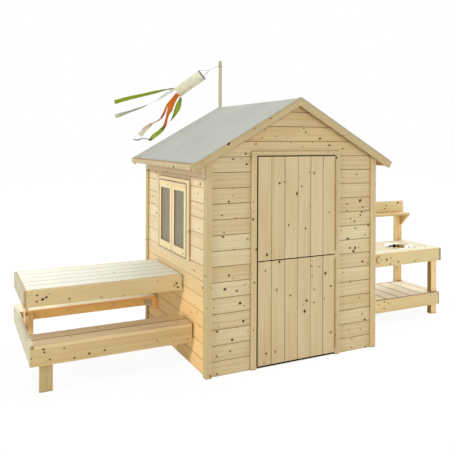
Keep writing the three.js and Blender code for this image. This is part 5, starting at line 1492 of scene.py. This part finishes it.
    def strip(self, streamer: Streamer) -> None:
        """Makes one streamer: a strip that twists in the wind, with a slight curl across it.

        Args:
            streamer: What it is.
        """
        rows, across, clock = 72, 6, streamer.clock
        start = self.on_sock(self.length + 0.0003, self.tail_radius - 0.0004, clock * math.pi / 2)
        line = smooth_line(streamer.stations, rows)
        centres = [start + Vector((out, aside, up)) * streamer.length for out, up, aside, _, _ in line]
        points: list[Vector] = []
        for j, (centre, row) in enumerate(zip(centres, line)):
            before, after = centres[max(j - 1, 0)], centres[min(j + 1, rows)]
            along = (after - before).normalized()
            level = along.cross(Vector((along.z, 0, -along.x))).normalized()
            width = Matrix.Rotation(row[4] * math.pi / 2, 3, along) @ level
            through = along.cross(width)
            half = self.ribbon * row[3] / 2
            v = j / rows
            for i in range(across + 1):
                u = 2 * i / across - 1
                curl = 0.0022 * (u * u - 0.4) * math.sin(5.1 * v + clock)
                curl += 0.0016 * math.sin(17 * v + 1.2 * u + clock * 3)
                points.append(self.world(centre + width * (u * half) + through * (curl * min(1.0, 6 * v))))
        cloth = Cloth(f"polyester_ribbon_{streamer.name}", streamer.stops, roughness=0.6).material()
        piece = mesh_piece(streamer.name, points, quads(rows + 1, across + 1), cloth)
        self.uv(piece, across, rows, across + 1)
        thicken(piece, "cloth", 0.0005, 0)
        settle(piece, "windsock", streamer.node)


@dataclass
class Studio:
    """The camera, the white floor and the plain soft light."""

    place: Point = (-1.91499, -3.48977, 1.35615)
    yaw: float = math.radians(25.7387)
    roll: float = math.radians(0.24836)
    lens: float = 44.989
    shift: tuple[float, float] = (0.005537, -0.190864)
    sky: float = 0.28
    lamp_colour: str = "#FFFAF0"
    floor_half: float = 14.0
    floor_drop: float = -0.0005
    lamps: tuple[tuple[str, float, Point, float], ...] = (
        ("softbox_left", 1.4, (-0.95, -0.26, 0.55), 9.0),
        ("softbox_right", 0.8, (0.9, -0.35, 0.4), 50.0),
        ("softbox_top", 1.9, (0.7, 0.3, 0.95), 60.0),
        ("softbox_front", 1.0, (-0.28, -0.92, 0.24), 24.0),
        ("softbox_back", 0.7, (0.15, 0.9, 0.5), 50.0),
    )

    def build(self) -> None:
        """Sets up the camera, the light and the floor."""
        self.camera()
        self.light()
        self.floor()
        bpy.context.scene.view_settings.view_transform = "Standard"

    def camera(self) -> None:
        """Makes the camera at the photograph's viewing angle."""
        data = bpy.data.cameras.new("camera")
        data.sensor_width = 36
        data.lens = self.lens
        data.shift_x, data.shift_y = self.shift
        data.clip_end = 60
        forward = Vector((math.sin(self.yaw), math.cos(self.yaw), 0))
        right = Vector((math.cos(self.yaw), -math.sin(self.yaw), 0))
        up = Vector(UP)
        tilted_right = right * math.cos(self.roll) + up * math.sin(self.roll)
        tilted_up = up * math.cos(self.roll) - right * math.sin(self.roll)
        turn = Matrix((tilted_right, tilted_up, -forward)).transposed()
        camera = bpy.data.objects.new("camera", data)
        camera.matrix_world = Matrix.Translation(Vector(self.place)) @ turn.to_4x4()
        bpy.context.scene.collection.objects.link(camera)
        bpy.context.scene.camera = camera

    def seen(self, tree: Tree) -> Node:
        """Tells a tree which rays show the background: the camera's, and those in metal and in glass.

        Args:
            tree: The node tree.

        Returns:
            The node that gives 1 for such a ray.
        """
        rays = add(tree, "LightPath").outputs
        seen = add(tree, "Math/MAXIMUM", rays["Is Camera Ray"], rays["Is Glossy Ray"])
        return add(tree, "Math/MAXIMUM", seen, rays["Is Transmission Ray"])

    def light(self) -> None:
        """Makes the sky, which is white where it is seen, and five soft lamps."""
        world = bpy.data.worlds.new("studio")
        bpy.context.scene.world = world
        world.use_nodes = True
        tree = world.node_tree
        tree.nodes.clear()
        seen = self.seen(tree)
        sky = add(tree, "Background", Color="#FBFCFF", Strength=self.sky)
        plain = add(tree, "Background", Color="#FFFFFF", Strength=1.0)
        add(tree, "OutputWorld", Surface=add(tree, "MixShader", seen, sky, plain))
        for name, energy, place, spread in self.lamps:
            data = bpy.data.lights.new(name, "SUN")
            data.energy = energy
            data.angle = math.radians(spread)
            data.color = linear(self.lamp_colour)[:3]
            lamp = bpy.data.objects.new(name, data)
            lamp.rotation_euler = Vector(place).to_track_quat("Z", "Y").to_euler()
            bpy.context.scene.collection.objects.link(lamp)

    def floor(self) -> None:
        """Makes the pale floor: white to the camera, and it keeps a faint shadow of the object."""
        material, tree, point = start_material("studio_floor_painted")
        bump = add(tree, "Bump", Strength=0.05, Distance=0.0005, Height=add(tree, "TexNoise", point, 90.0))
        paint = {"Base_Color": "#F2F1EE", "Roughness": 0.9, "Specular_IOR_Level": 0.1}
        shader = add(tree, "BsdfPrincipled", Normal=bump, **paint)
        white = add(tree, "Emission", Color="#FFFFFF", Strength=1.03)
        share = add(tree, "Math/MULTIPLY", self.seen(tree), 0.9)
        add(tree, "OutputMaterial", Surface=add(tree, "MixShader", share, shader, white))
        far, z = self.floor_half, self.floor_drop
        points = [(-far, -far, z), (far, -far, z), (far, far, z), (-far, far, z)]
        mesh_piece("studio_floor", points, [(0, 1, 2, 3)], material, smooth=False)


def corners(box: tuple[Vector, Vector]) -> list[list[float]]:
    """Turns a box to plain lists of numbers."""
    return [[round(float(value), 6) for value in corner] for corner in box]


def main() -> None:
    """Builds the scene piece by piece."""
    logging.basicConfig(level=logging.INFO, format="%(name)s %(message)s")
    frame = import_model()
    Studio().build()
    shop = Workshop(frame)
    for assembly in (House(shop), Door(shop), SideWindow(shop), PicnicTable(shop), Kitchen(shop), Windsock(shop)):
        assembly.build()
        log.info("%s done", type(assembly).__name__)


if __name__ == "__main__":
    main()
